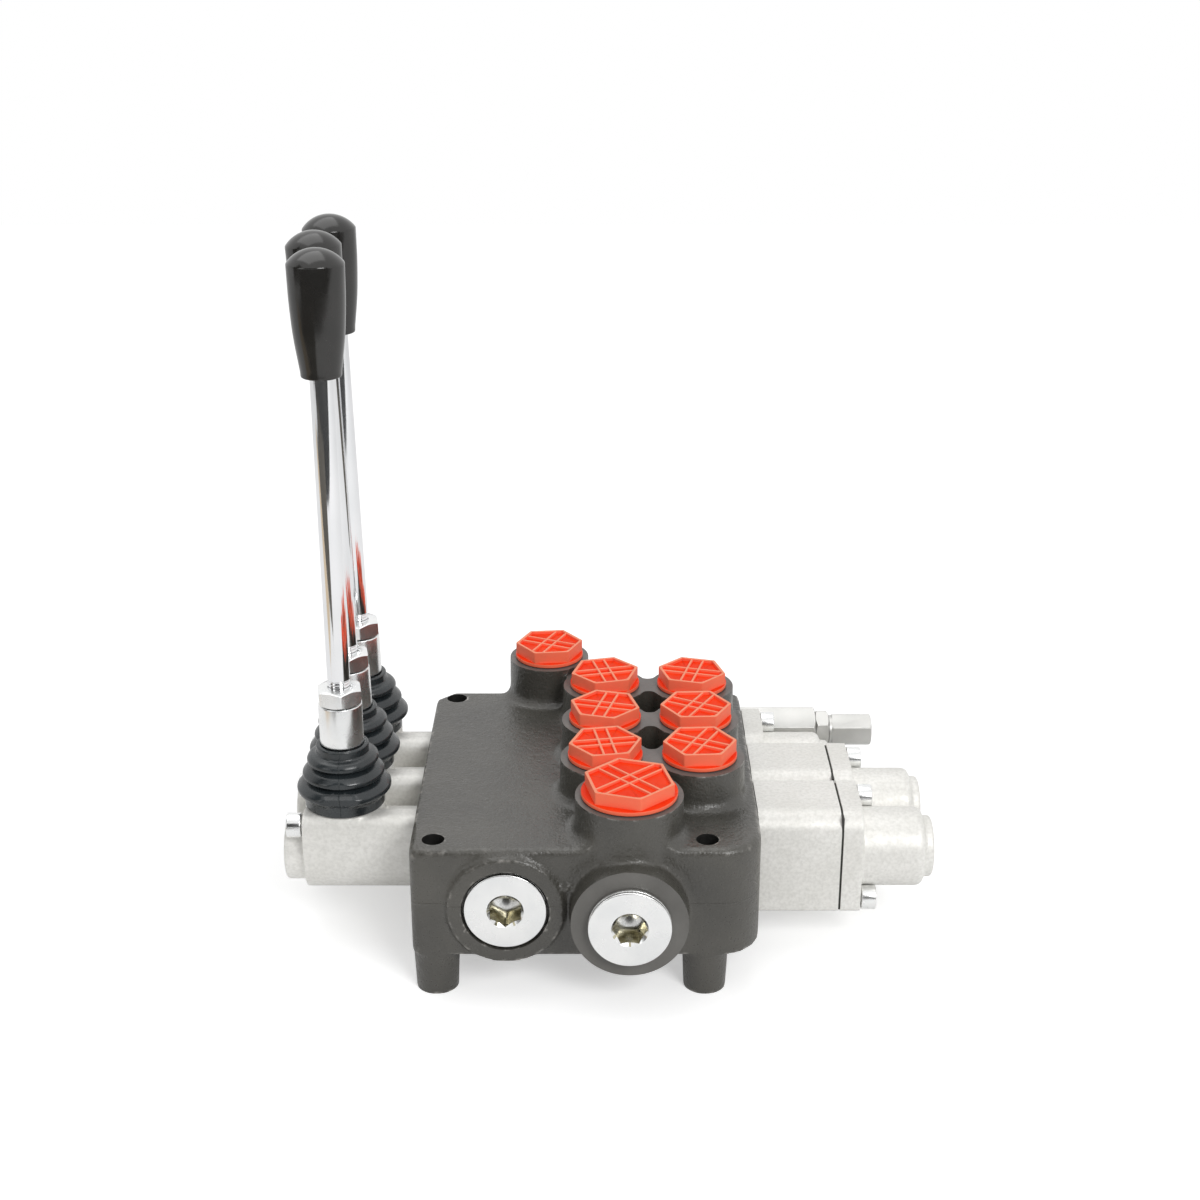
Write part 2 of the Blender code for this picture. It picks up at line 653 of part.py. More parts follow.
def cap_mesh(name, flats, flange_radius, spigot_radius):
    """A hexagonal transport cap, from its seat on the port: flange, spigot below, rim and ribs on top.

    One pair of ribs runs from corner to corner and the other crosses it from flat to flat.
    """
    base = CLEARANCE
    top = base + CAP_HEIGHT
    floor = top - CAP_RECESS
    inner = flats - 2 * CAP_RIM
    head = prism(hexagon(flats), base, top)
    flange = rod(flange_radius, base, base + CAP_FLANGE)
    spigot = rod(spigot_radius - CLEARANCE, -CAP_SPIGOT_LENGTH, base + CAP_FLANGE, steps=PORT_ROUND)
    recess = prism(hexagon(inner), floor, top + CAP_RECESS)
    # The hexagon's corners all but touch the flange's edge, which the exact solver leaves torn.
    hollow = carved(name, head, [flange, spigot], [recess], "MANIFOLD")
    to_corner = (inner - CAP_RIB_SPACING / 2) / math.sqrt(3) + CAP_RIM / 2
    to_flat = inner / 2 + CAP_RIM / 2
    ribs = []
    for side in (-CAP_RIB_SPACING / 2, CAP_RIB_SPACING / 2):
        for start, end in (
            ((-to_corner, side), (to_corner, side)),
            ((side, -to_flat), (side, to_flat)),
        ):
            ribs.append(web(start, end, CAP_RIB / 2, floor - CAP_RECESS, top - CAP_RIB_DROP))
    base_shape = bmesh.new()
    base_shape.from_mesh(hollow)
    bpy.data.meshes.remove(hollow)
    return carved(name, base_shape, ribs, solver="MANIFOLD")


def make_port_caps(finishes, root):
    port_cap = cap_mesh("port_cap", CAP_FLATS, CAP_FLANGE_RADIUS, PORT_RADIUS)
    tank_cap = cap_mesh("tank_cap", TANK_CAP_FLATS, TANK_CAP_FLANGE_RADIUS, TANK_PORT_RADIUS)
    red = finishes["red_plastic"]
    for column, x in (("a", PORT_A_X), ("b", PORT_B_X)):
        for number, row in enumerate(ROWS, 1):
            key = f"{column}{number}"
            cap = piece(f"port_cap_{key}", port_cap, red, root, (x, row, PORT_RIM))
            cap.rotation_euler.z = math.radians(CAP_TURNS[key])
    inlet = piece("inlet_port_cap", port_cap, red, root, (INLET_X, INLET_Y, INLET_RIM))
    inlet.rotation_euler.z = math.radians(CAP_TURNS["inlet"])
    tank = piece("tank_port_cap", tank_cap, red, root, (TANK_X, TANK_Y, PORT_RIM))
    tank.rotation_euler.z = math.radians(CAP_TURNS["tank"])


# Socket screws


def screw_mesh(name, length):
    """A socket screw along X: the head stands at -X of its seat and the shank runs to +X."""
    under = -CLEARANCE
    face = under - SCREW_HEAD
    profile = [
        (0, face),
        (SCREW_HEAD_RADIUS - SCREW_EDGE, face),
        (SCREW_HEAD_RADIUS, face + SCREW_EDGE),
        (SCREW_HEAD_RADIUS, under),
        (SCREW_RADIUS, under),
        (SCREW_RADIUS, length - SCREW_EDGE),
        (SCREW_RADIUS - SCREW_EDGE, length),
        (0, length),
    ]
    socket = prism(hexagon(SCREW_SOCKET), face - SCREW_EDGE, face + SCREW_SOCKET_DEPTH, "X")
    return carved(name, turned(profile, "X", steps=SCREW_ROUND), removed=[socket])


# Lever brackets, levers and bellows


def bracket_section():
    """Outline across X of a bracket on its row: round about the spool, with a lug for each screw."""
    side = BRACKET_RADIUS
    top = SPOOL_AXIS_Z + BRACKET_RADIUS
    bottom = SPOOL_AXIS_Z - BRACKET_RADIUS
    return outline(
        [
            (-side, bottom, BRACKET_RADIUS),
            (LUG_INNER, bottom, 0),
            (LUG_INNER, LOWER_LUG_BOTTOM, LOWER_LUG_ROUND),
            (side, LOWER_LUG_BOTTOM, LOWER_LUG_ROUND),
            (side, top, BRACKET_RADIUS),
            (-LUG_INNER, top, 0),
            (-LUG_INNER, UPPER_LUG_TOP, UPPER_LUG_REAR_ROUND),
            (-side, UPPER_LUG_TOP, UPPER_LUG_FRONT_ROUND),
        ],
        BRACKET_ARC,
    )


def make_brackets(finishes, root):
    face = BODY_LEFT - CLEARANCE
    nose = turned(
        [
            (0, NOSE_END),
            (NOSE_RADIUS - NOSE_EDGE, NOSE_END),
            (NOSE_RADIUS, NOSE_END + NOSE_EDGE),
            (NOSE_RADIUS, BRACKET_END + NOSE_EDGE),
            (0, BRACKET_END + NOSE_EDGE),
        ],
        "X",
        (0, 0, SPOOL_AXIS_Z),
    )
    pivot = (PIVOT_X, 0, 0)
    socket_radius = PIVOT_BALL_RADIUS + CLEARANCE
    spigot = rod(SPIGOT_RADIUS, SPOOL_AXIS_Z + SPOOL_BORE, SPIGOT_TOP, "Z", pivot)
    seat = rod(BELLOWS_SKIRT_RADIUS, SPOOL_AXIS_Z, BOOT_SEAT, "Z", pivot)
    bore = rod(SPOOL_BORE, NOSE_END + NOSE_WALL, BODY_LEFT, "X", (0, 0, SPOOL_AXIS_Z), SMALL_ROUND)
    socket = rod(socket_radius, SPOOL_AXIS_Z, SPIGOT_TOP + FOOT_ROOT, "Z", pivot, SMALL_ROUND)
    holes = [
        rod(SCREW_HOLE, NOSE_END, BODY_LEFT, "X", (0, across, height), SCREW_ROUND)
        for across, height in BRACKET_SCREWS
    ]
    block = prism(bracket_section(), BRACKET_END, face, "X")
    mesh = carved("lever_bracket", block, [nose, seat, spigot], [bore, socket, *holes])
    screw = screw_mesh("bracket_screw", BODY_LEFT - BRACKET_END + SCREW_BITE)
    for number, row in enumerate(ROWS, 1):
        piece(f"lever_bracket_{number}", mesh, finishes["cast_aluminium"], root, (0, row, 0))
        for name, (across, height) in zip(("upper", "lower"), BRACKET_SCREWS):
            seat = (BRACKET_END, row + across, height)
            piece(f"bracket_screw_{name}_{number}", screw, finishes["zinc_steel"], root, seat)


def stub_mesh():
    """Ball end, arm, pivot ball and sleeve of a lever, about its pivot."""
    arm_leaves = 180 - math.degrees(math.asin(ARM_RADIUS / ARM_BALL_RADIUS))
    ball_starts = math.degrees(math.asin(ARM_RADIUS / PIVOT_BALL_RADIUS))
    neck_leaves = 180 - math.degrees(math.asin(NECK_RADIUS / PIVOT_BALL_RADIUS))
    profile = arc_profile(ARM_BALL_RADIUS, -ARM_LENGTH, 0, arm_leaves, BALL_STEPS)
    profile += arc_profile(PIVOT_BALL_RADIUS, 0, ball_starts, neck_leaves, BALL_STEPS)
    profile += [
        (NECK_RADIUS, NECK_TOP),
        (SHANK_RADIUS, SHANK_BOTTOM),
        (SHANK_RADIUS, SLEEVE_BOTTOM - CLEARANCE),
        (SLEEVE_RADIUS, SLEEVE_BOTTOM),
        (SLEEVE_RADIUS, SLEEVE_TOP - SLEEVE_EDGE),
        (SLEEVE_RADIUS - SLEEVE_EDGE, SLEEVE_TOP),
        (ROD_BORE, SLEEVE_TOP),
        (ROD_BORE, SLEEVE_TOP - ROD_IN_SLEEVE - CLEARANCE),
        (0, SLEEVE_TOP - ROD_IN_SLEEVE - CLEARANCE),
    ]
    return mesh_of(turned(profile, steps=SMALL_ROUND), "lever_stub")


def knob_mesh():
    """A knob that widens to a crisp rim, with a shallow ball-shaped top."""
    hole_end = KNOB_BOTTOM + ROD_IN_KNOB + CLEARANCE
    ball = (KNOB_RADIUS**2 + KNOB_DOME**2) / (2 * KNOB_DOME)
    rim = math.degrees(math.asin(KNOB_RADIUS / ball))
    profile = [
        (0, hole_end),
        (ROD_BORE, hole_end),
        (ROD_BORE, KNOB_BOTTOM),
        (KNOB_NECK_RADIUS - KNOB_EDGE, KNOB_BOTTOM),
        (KNOB_NECK_RADIUS, KNOB_BOTTOM + KNOB_EDGE),
    ]
    profile += [(radius, KNOB_BOTTOM + height) for radius, height in KNOB_SIDE]
    profile += arc_profile(ball, KNOB_TOP - ball, 180 - rim, 180, KNOB_DOME_STEPS)
    return mesh_of(turned(profile, steps=SMALL_ROUND), "lever_knob")


def rod_mesh():
    low = SLEEVE_TOP - ROD_IN_SLEEVE
    high = KNOB_BOTTOM + ROD_IN_KNOB
    profile = [
        (0, low),
        (ROD_RADIUS - ROD_EDGE, low),
        (ROD_RADIUS, low + ROD_EDGE),
        (ROD_RADIUS, high),
        (0, high),
    ]
    return mesh_of(turned(profile, steps=SMALL_ROUND), "lever_rod")


def make_levers(finishes, root):
    stub = stub_mesh()
    nut_low = SLEEVE_TOP + CLEARANCE
    bore = rod(ROD_BORE, nut_low - CLEARANCE, nut_low + NUT_HEIGHT + CLEARANCE, steps=SMALL_ROUND)
    nut = carved("lock_nut", prism(hexagon(NUT_FLATS), nut_low, nut_low + NUT_HEIGHT), removed=[bore])
    bar = rod_mesh()
    knob = knob_mesh()
    for number, (row, lean) in enumerate(zip(ROWS, LEVER_LEAN), 1):
        pivot = empty(f"lever_pivot_{number}", root, (PIVOT_X, row, PIVOT_Z), -lean)
        piece(f"lever_stub_{number}", stub, finishes["zinc_steel"], pivot)
        piece(f"lock_nut_{number}", nut, finishes["zinc_steel"], pivot)
        piece(f"lever_rod_{number}", bar, finishes["chrome"], pivot)
        piece(f"lever_knob_{number}", knob, finishes["black_plastic"], pivot)


def press_together(boot):
    """Flattens the widest rib where a boot presses on the one in the next row."""
    rib_radius = BELLOWS_RIBS[0][0]
    for vert in boot.verts:
        outside = math.hypot(vert.co.x - PIVOT_X, vert.co.y) > rib_radius - BELLOWS_WALL / 2
        room = (SPOOL_PITCH - CLEARANCE) / 2 - (0 if outside else BELLOWS_WALL)
        vert.co.y = max(-room, min(room, vert.co.y))


def follow_lever(boot, lean):
    """Draws the folds over with the lever that stands through the collar; the skirt stays put."""
    folds = BELLOWS_COLLAR_BOTTOM - BELLOWS_SKIRT_TOP
    for vert in boot.verts:
        share = max(0, min(1, (vert.co.z - BELLOWS_SKIRT_TOP) / folds))
        vert.co.x -= share * (vert.co.z - PIVOT_Z) * math.tan(math.radians(lean))


def make_bellows(finishes, root):
    outer = [(BELLOWS_SKIRT_RADIUS, BELLOWS_SKIRT_BOTTOM), (BELLOWS_SKIRT_RADIUS, BELLOWS_SKIRT_TOP)]
    for rib, fold in zip(BELLOWS_RIBS, BELLOWS_FOLDS):
        outer += [rib, fold]
    outer += [
        BELLOWS_RIBS[-1],
        (BELLOWS_COLLAR_RADIUS, BELLOWS_COLLAR_BOTTOM),
        (BELLOWS_COLLAR_RADIUS, BELLOWS_COLLAR_TOP),
    ]
    grip = SHANK_RADIUS + CLEARANCE
    skirt_inner = SPIGOT_RADIUS + CLEARANCE
    inner = [(grip, BELLOWS_COLLAR_TOP), (grip, BELLOWS_COLLAR_BOTTOM)]
    for rib, fold in zip(reversed(BELLOWS_RIBS), reversed(BELLOWS_FOLDS)):
        inner += [(rib[0] - BELLOWS_WALL, rib[1]), (fold[0] - BELLOWS_WALL, fold[1])]
    inner += [
        (BELLOWS_RIBS[0][0] - BELLOWS_WALL, BELLOWS_RIBS[0][1]),
        (skirt_inner, SPIGOT_TOP + CLEARANCE),
        (skirt_inner, BELLOWS_SKIRT_BOTTOM),
    ]
    for number, (row, lean) in enumerate(zip(ROWS, LEVER_LEAN), 1):
        boot = turned(outer + inner, "Z", (PIVOT_X, 0, 0), hollow=True)
        press_together(boot)
        follow_lever(boot, lean)
        piece(f"bellows_{number}", boot, finishes["rubber"], root, (0, row, 0))


# Spools, springs and end caps


def spool_profile():
    right = BODY_RIGHT - CLEARANCE
    bolt_hole = BOLT_RADIUS + CLEARANCE
    points = [
        (0, SPOOL_LEFT),
        (SPOOL_RADIUS - SPOOL_END_CHAMFER, SPOOL_LEFT),
        (SPOOL_RADIUS, SPOOL_LEFT + SPOOL_END_CHAMFER),
    ]
    for place in SPOOL_GROOVE_PLACES:
        low = place - SPOOL_GROOVE_WIDTH / 2
        high = place + SPOOL_GROOVE_WIDTH / 2
        points += [(SPOOL_RADIUS, low), (SPOOL_GROOVE_RADIUS, low)]
        points += [(SPOOL_GROOVE_RADIUS, high), (SPOOL_RADIUS, high)]
    points += [
        (SPOOL_RADIUS, right),
        (bolt_hole, right),
        (bolt_hole, right - BOLT_HOLE_DEPTH),
        (0, right - BOLT_HOLE_DEPTH),
    ]
    return points


def make_spools(finishes, root):
    reach = ARM_BALL_RADIUS + SLOT_END_PLAY
    side = ARM_BALL_RADIUS + CLEARANCE
    slot_floor = -ARM_BALL_RADIUS - SLOT_END_PLAY
    plan = [
        (PIVOT_X - reach, -side),
        (PIVOT_X + reach, -side),
        (PIVOT_X + reach, side),
        (PIVOT_X - reach, side),
    ]
    slot = prism(plan, slot_floor, 2 * SPOOL_RADIUS)
    mesh = carved("spool", turned(spool_profile(), "X", steps=SMALL_ROUND), removed=[slot])
    bolt_start = BODY_RIGHT - BOLT_HOLE_DEPTH
    for number, (row, lean) in enumerate(zip(ROWS, LEVER_LEAN), 1):
        shift = ARM_LENGTH * math.sin(math.radians(lean))
        axis = empty(f"spool_axis_{number}", root, (shift, row, SPOOL_AXIS_Z))
        piece(f"spool_{number}", mesh, finishes["spring_steel"], axis)
        step = cap_seat(number - 1) + CAP_CAVITY_DEPTH
        bolt = [
            (0, bolt_start),
            (BOLT_RADIUS, bolt_start),
            (BOLT_RADIUS, step),
            (SPOOL_RADIUS, step),
            (SPOOL_RADIUS, step + BOLT_FLANGE),
            (0, step + BOLT_FLANGE),
        ]
        piece(f"spring_bolt_{number}", turned(bolt, "X", steps=SMALL_ROUND), finishes["zinc_steel"], axis)
        low = BODY_RIGHT + CLEARANCE
        spring = coil(SPRING_RADIUS, SPRING_WIRE, low, step - CLEARANCE, SPRING_TURN, (0, 0, SPOOL_AXIS_Z))
        piece(f"centering_spring_{number}", spring, finishes["spring_steel"], root, (0, row, 0))


def cap_seat(row_index):
    """Where an end cap's flange starts: on a spring box, or straight on the body."""
    if row_index in BOX_ROWS:
        return BOX_RIGHT + CLEARANCE
    return BODY_RIGHT + CLEARANCE


def flange_outline():
    low = SPOOL_AXIS_Z - FLANGE_HALF_HEIGHT
    high = SPOOL_AXIS_Z + FLANGE_HALF_HEIGHT
    return outline(
        [
            (-FLANGE_HALF_WIDTH, low, FLANGE_FOOT_ROUND),
            (FLANGE_HALF_WIDTH, low, FLANGE_FOOT_ROUND),
            (FLANGE_HALF_WIDTH, high, FLANGE_FOOT_ROUND),
            (-FLANGE_HALF_WIDTH, high, FLANGE_SHOULDER),
        ]
    )


def screw_holes(low, high):
    holes = []
    for across, height in CAP_SCREWS:
        centre = (0, across, SPOOL_AXIS_Z + height)
        holes.append(rod(SCREW_HOLE, low, high, "X", centre, SCREW_ROUND))
    return holes


def make_end_caps(finishes, root):
    axis = (0, 0, SPOOL_AXIS_Z)
    barrel_end = FLANGE_THICKNESS + CAP_BARREL_LENGTH
    barrel = turned(
        [
            (0, FLANGE_THICKNESS / 2),
            (CAP_BARREL_RADIUS, FLANGE_THICKNESS / 2),
            (CAP_BARREL_RADIUS, barrel_end - CAP_BARREL_EDGE),
            (CAP_BARREL_RADIUS - CAP_BARREL_EDGE, barrel_end),
            (CAP_END_RADIUS, barrel_end),
            (CAP_END_RADIUS, CAP_LENGTH - CAP_END_EDGE),
            (CAP_END_RADIUS - CAP_END_EDGE, CAP_LENGTH),
            (0, CAP_LENGTH),
        ],
        "X",
        axis,
    )
    cavity = turned(
        [
            (0, -CAP_END_EDGE),
            (CAP_CAVITY_RADIUS, -CAP_END_EDGE),
            (CAP_CAVITY_RADIUS, CAP_CAVITY_DEPTH),
            (CAP_BORE_RADIUS, CAP_CAVITY_DEPTH),
            (CAP_BORE_RADIUS, CAP_CAVITY_DEPTH + CAP_BORE_DEPTH),
            (0, CAP_CAVITY_DEPTH + CAP_BORE_DEPTH),
        ],
        "X",
        axis,
        SMALL_ROUND,
    )
    flange = prism(flange_outline(), 0, FLANGE_THICKNESS, "X")
    pockets = screw_holes(-CAP_END_EDGE, FLANGE_THICKNESS + CAP_END_EDGE)
    for across, height in CAP_SCREWS:
        seat = (0, across, SPOOL_AXIS_Z + height)
        spot = SCREW_HEAD_RADIUS + SCREW_HOLE_PLAY
        pockets.append(rod(spot, FLANGE_THICKNESS, CAP_LENGTH, "X", seat, SMALL_ROUND))
    cap = carved("end_cap", flange, [barrel], [cavity, *pockets])
    low = BODY_RIGHT + CLEARANCE
    bore = rod(CAP_CAVITY_RADIUS, low - CAP_END_EDGE, BOX_RIGHT + CAP_END_EDGE, "X", axis, SMALL_ROUND)
    block = prism(flange_outline(), low, BOX_RIGHT, "X")
    box = carved(
        "spring_box", block, removed=[bore, *screw_holes(low - CAP_END_EDGE, BOX_RIGHT + CAP_END_EDGE)]
    )
    for index, row in enumerate(ROWS):
        seat = cap_seat(index)
        piece(f"end_cap_{index + 1}", cap, finishes["cast_aluminium"], root, (seat, row, 0))
        if index in BOX_ROWS:
            piece(f"spring_box_{index + 1}", box, finishes["cast_aluminium"], root, (0, row, 0))
        head = seat + FLANGE_THICKNESS
        screw = screw_mesh(f"cap_screw_{index + 1}", head - BODY_RIGHT + SCREW_BITE)
        for name, (across, height) in zip(("upper", "lower"), CAP_SCREWS):
            place = (head, row + across, SPOOL_AXIS_Z + height)
            obj = piece(f"cap_screw_{name}_{index + 1}", screw, finishes["zinc_steel"], root, place)
            obj.rotation_euler.z = math.pi


# Relief valve


def chamfered_hex(name, flats, low, high, extras=(), removed=()):
    """A hexagon along X whose +X end is turned to a cone, as on a nut."""
    corner = flats / math.sqrt(3)
    cone = turned(
        [
            (corner - HEX_EDGE, high + HEX_EDGE / 2),
            (corner + HEX_EDGE, high + HEX_EDGE / 2),
            (corner + HEX_EDGE, high - HEX_EDGE),
        ],
        "X",
        hollow=True,
    )
    return carved(name, prism(hexagon(flats, 30), low, high, "X"), extras, [cone, *removed])


def make_relief_valve(finishes, root):
    zinc = finishes["zinc_steel"]
    seat = (0, RELIEF_Y, RELIEF_Z)
    low = GALLERY_FACE + CLEARANCE
    thread_end = GALLERY_FACE - RELIEF_THREAD_LENGTH
    bore_end = thread_end + RELIEF_SEAT_DEPTH
    thread = rod(RELIEF_THREAD_RADIUS, thread_end, low + HEX_EDGE, "X", steps=SMALL_ROUND)
    bore = rod(RELIEF_BORE_RADIUS, bore_end, RELIEF_END + HEX_EDGE, "X", steps=SMALL_ROUND)
    nozzle = rod(RELIEF_SEAT_RADIUS, thread_end - HEX_EDGE, RELIEF_END, "X", steps=SCREW_ROUND)
    body = chamfered_hex("relief_valve_body", RELIEF_HEX, low, RELIEF_END, [thread], [bore, nozzle])
    piece("relief_valve_body", body, zinc, root, seat)

    stem_radius = RELIEF_BORE_RADIUS - CLEARANCE
    nut_low = RELIEF_END + CLEARANCE
    nut_high = nut_low + RELIEF_NUT_LENGTH
    nut_bore = rod(RELIEF_BORE_RADIUS, RELIEF_END, nut_high + HEX_EDGE, "X", steps=SMALL_ROUND)
    nut = chamfered_hex("relief_lock_nut", RELIEF_NUT, nut_low, nut_high, removed=[nut_bore])
    piece("relief_lock_nut", nut, zinc, root, seat)

    collar_low = nut_high + CLEARANCE
    cap_low = collar_low + RELIEF_CAP_COLLAR
    stem_low = collar_low - RELIEF_STEM_LENGTH
    stem = turned(
        [
            (0, stem_low),
            (stem_radius, stem_low),
            (stem_radius, collar_low),
            (RELIEF_CAP / 2, collar_low),
            (RELIEF_CAP / 2, cap_low + HEX_EDGE),
            (0, cap_low + HEX_EDGE),
        ],
        "X",
        steps=SMALL_ROUND,
    )
    cap = chamfered_hex("relief_cap_nut", RELIEF_CAP, cap_low, cap_low + RELIEF_CAP_LENGTH, [stem])
    piece("relief_cap_nut", cap, zinc, root, seat)

    tip = bore_end + CLEARANCE
    shoulder = tip + POPPET_LENGTH / 2
    poppet = [
        (0, tip),
        (RELIEF_SEAT_RADIUS, tip),
        (stem_radius, shoulder),
        (stem_radius, tip + POPPET_LENGTH),
        (0, tip + POPPET_LENGTH),
    ]
    poppet_shape = turned(poppet, "X", steps=SMALL_ROUND)
    piece("relief_poppet", poppet_shape, finishes["spring_steel"], root, seat)
    spring = coil(
        RELIEF_SPRING_RADIUS,
        RELIEF_SPRING_WIRE,
        tip + POPPET_LENGTH + CLEARANCE,
        stem_low - CLEARANCE,
        RELIEF_SPRING_TURN,
        (0, 0, 0),
    )
    piece("relief_spring", spring, finishes["spring_steel"], root, seat)


def clear_scene():
    for obj in list(bpy.data.objects):
        bpy.data.objects.remove(obj)


def main():
    clear_scene()
    finishes = make_finishes()
    root = empty("valve", location=(-CENTRE_X, -CENTRE_Y, 0))
    make_body(finishes, root)
    make_gallery_plugs(finishes, root)
    make_port_caps(finishes, root)
    make_brackets(finishes, root)
    make_levers(finishes, root)
    make_bellows(finishes, root)
    make_spools(finishes, root)
    make_end_caps(finishes, root)
    make_relief_valve(finishes, root)


main()
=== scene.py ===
# %% [markdown]
# # A hydraulic monoblock valve with three hand levers
# The valve is one iron casting, painted dark grey. Three spools lie in it along X. Levers push them from
# the left, and springs in aluminium caps on the right bring them back. The working solids are loaded as a
# fixed frame, and each cell below dresses some of them with a finer piece and a finish.

import math

import bmesh
import bpy
from mathutils import Matrix, Vector


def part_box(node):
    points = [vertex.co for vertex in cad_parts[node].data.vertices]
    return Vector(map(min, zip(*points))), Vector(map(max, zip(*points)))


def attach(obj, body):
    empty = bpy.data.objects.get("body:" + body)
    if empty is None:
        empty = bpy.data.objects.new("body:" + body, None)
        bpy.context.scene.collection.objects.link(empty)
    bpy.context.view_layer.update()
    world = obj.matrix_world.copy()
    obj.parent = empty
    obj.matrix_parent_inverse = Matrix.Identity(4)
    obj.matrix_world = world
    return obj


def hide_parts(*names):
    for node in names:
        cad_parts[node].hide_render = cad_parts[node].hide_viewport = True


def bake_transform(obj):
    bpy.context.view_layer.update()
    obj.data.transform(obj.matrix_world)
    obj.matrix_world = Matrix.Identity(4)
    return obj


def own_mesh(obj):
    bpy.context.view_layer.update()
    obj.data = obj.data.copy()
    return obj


MM = 0.001

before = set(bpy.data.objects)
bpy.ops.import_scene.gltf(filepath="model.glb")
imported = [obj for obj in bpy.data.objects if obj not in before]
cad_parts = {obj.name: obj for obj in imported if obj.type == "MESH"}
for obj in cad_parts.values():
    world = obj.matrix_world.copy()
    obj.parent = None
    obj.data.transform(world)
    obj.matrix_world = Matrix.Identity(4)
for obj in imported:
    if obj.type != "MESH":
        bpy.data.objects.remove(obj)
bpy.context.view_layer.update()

# %% [markdown]
# The photograph looks at the valve from the front and about 22 degrees down, with a normal lens. The camera
# comes first, so that each piece can be looked at from there while it is made.

# %% Camera
CAMERA_PLACE = (-3.75 * MM, -690.9 * MM, 410.3 * MM)
CAMERA_TILT = 68.4  # degrees up from straight down
LENS = 55.5  # millimetres
SENSOR = 36  # millimetres

bpy.ops.object.select_all(action="DESELECT")
bpy.ops.object.camera_add(location=CAMERA_PLACE, rotation=(math.radians(CAMERA_TILT), 0, 0))
camera = bpy.context.object
camera.data.lens = LENS
camera.data.sensor_width = SENSOR
bpy.context.scene.camera = camera
bpy.context.scene.view_settings.view_transform = "Standard"
print("camera at", [round(c / MM) for c in camera.location], "mm")

# %% [markdown]
# A product like this is photographed on white paper under large soft lamps. The world is the soft light. It
# is white to the camera and in reflections, and dimmer as a light, so that the painted iron keeps its own
# grey.

# %% World
SKY_LIGHT = 0.42
WHITE = (1, 1, 1, 1)

world = bpy.data.worlds.new("soft_studio")
bpy.context.scene.world = world
world.use_nodes = True
sky = world.node_tree
sky.nodes.clear()
paths = sky.nodes.new("ShaderNodeLightPath")
seen = paths.outputs["Is Camera Ray"]
for ray in ("Is Glossy Ray", "Is Transmission Ray"):
    either = sky.nodes.new("ShaderNodeMath")
    either.operation = "MAXIMUM"
    sky.links.new(seen, either.inputs[0])
    sky.links.new(paths.outputs[ray], either.inputs[1])
    seen = either.outputs[0]
shown = sky.nodes.new("ShaderNodeMixShader")
sky.links.new(seen, shown.inputs[0])
for place, strength in ((1, SKY_LIGHT), (2, 1.0)):
    glow = sky.nodes.new("ShaderNodeBackground")
    glow.inputs["Color"].default_value = WHITE
    glow.inputs["Strength"].default_value = strength
    sky.links.new(glow.outputs[0], shown.inputs[place])
out = sky.nodes.new("ShaderNodeOutputWorld")
sky.links.new(shown.outputs[0], out.inputs["Surface"])
print("world", world.name)

# %% [markdown]
# The floor is the same paper. Under this light it would look pale grey, so it glows a little, to the camera
# and in reflections only. The valve's shadow still shows on it.

# %% Floor
FLOOR_SIZE = 3.2
FLOOR_LIFT = {"Is Camera Ray": 0.45, "Is Glossy Ray": 0.15, "Is Transmission Ray": 0.15}

bpy.ops.mesh.primitive_plane_add(size=FLOOR_SIZE, location=(0, 0, 0))
floor = bpy.context.object
floor.name = "floor"
white = bpy.data.materials.new("paper_floor")
white.use_nodes = True
shader = white.node_tree.nodes["Principled BSDF"]
shader.inputs["Base Color"].default_value = (0.9, 0.9, 0.9, 1)
shader.inputs["Roughness"].default_value = 0.9
shader.inputs["Specular IOR Level"].default_value = 0.1
shader.inputs["Emission Color"].default_value = WHITE
paths = white.node_tree.nodes.new("ShaderNodeLightPath")
glow = shader.inputs["Emission Strength"]
for ray, amount in FLOOR_LIFT.items():
    lift = white.node_tree.nodes.new("ShaderNodeMath")
    lift.operation = "MULTIPLY_ADD"
    lift.inputs[1].default_value = amount
    lift.inputs[2].default_value = 0
    white.node_tree.links.new(paths.outputs[ray], lift.inputs[0])
    white.node_tree.links.new(lift.outputs[0], glow)
    glow = lift.inputs[2]
floor.data.materials.append(white)
print("floor of", FLOOR_SIZE, "m")

# %% [markdown]
# Metal needs something dark to mirror, or it turns to plaster. So dark cards stand round the set and lie on
# the paper, seen only in reflections. A warm one gives the levers' rods the tan stripe of a wooden bench.

# %% Lamps and cards
MIDDLE = (0, 0, 60 * MM)
BLACK_CARD = (0.02, 0.02, 0.02)
GREY_CARD = (0.11, 0.1, 0.085)
WARM_CARD = (0.8, 0.64, 0.45)


def lamp(name, place, size, power):
    """A square soft lamp that looks at the valve."""
    bpy.ops.object.light_add(type="AREA", location=place)
    soft = bpy.context.object
    soft.name = name
    soft.data.shape = "SQUARE"
    soft.data.size = size
    soft.data.energy = power
    soft.rotation_euler = (Vector(MIDDLE) - Vector(place)).to_track_quat("-Z", "Y").to_euler()


def card(name, place, target, width, height, tone=BLACK_CARD):
    """A card that only reflections see."""
    bpy.ops.mesh.primitive_plane_add(size=1, location=place)
    board = bpy.context.object
    board.name = name
    board.scale = (width, height, 1)
    board.rotation_euler = (Vector(target) - Vector(place)).to_track_quat("Z", "Y").to_euler()
    matt = bpy.data.materials.new(name)
    matt.use_nodes = True
    matt.node_tree.nodes["Principled BSDF"].inputs["Base Color"].default_value = (*tone, 1)
    matt.node_tree.nodes["Principled BSDF"].inputs["Roughness"].default_value = 1
    board.data.materials.append(matt)
    board.visible_camera = False
    board.visible_diffuse = False
    board.visible_shadow = False


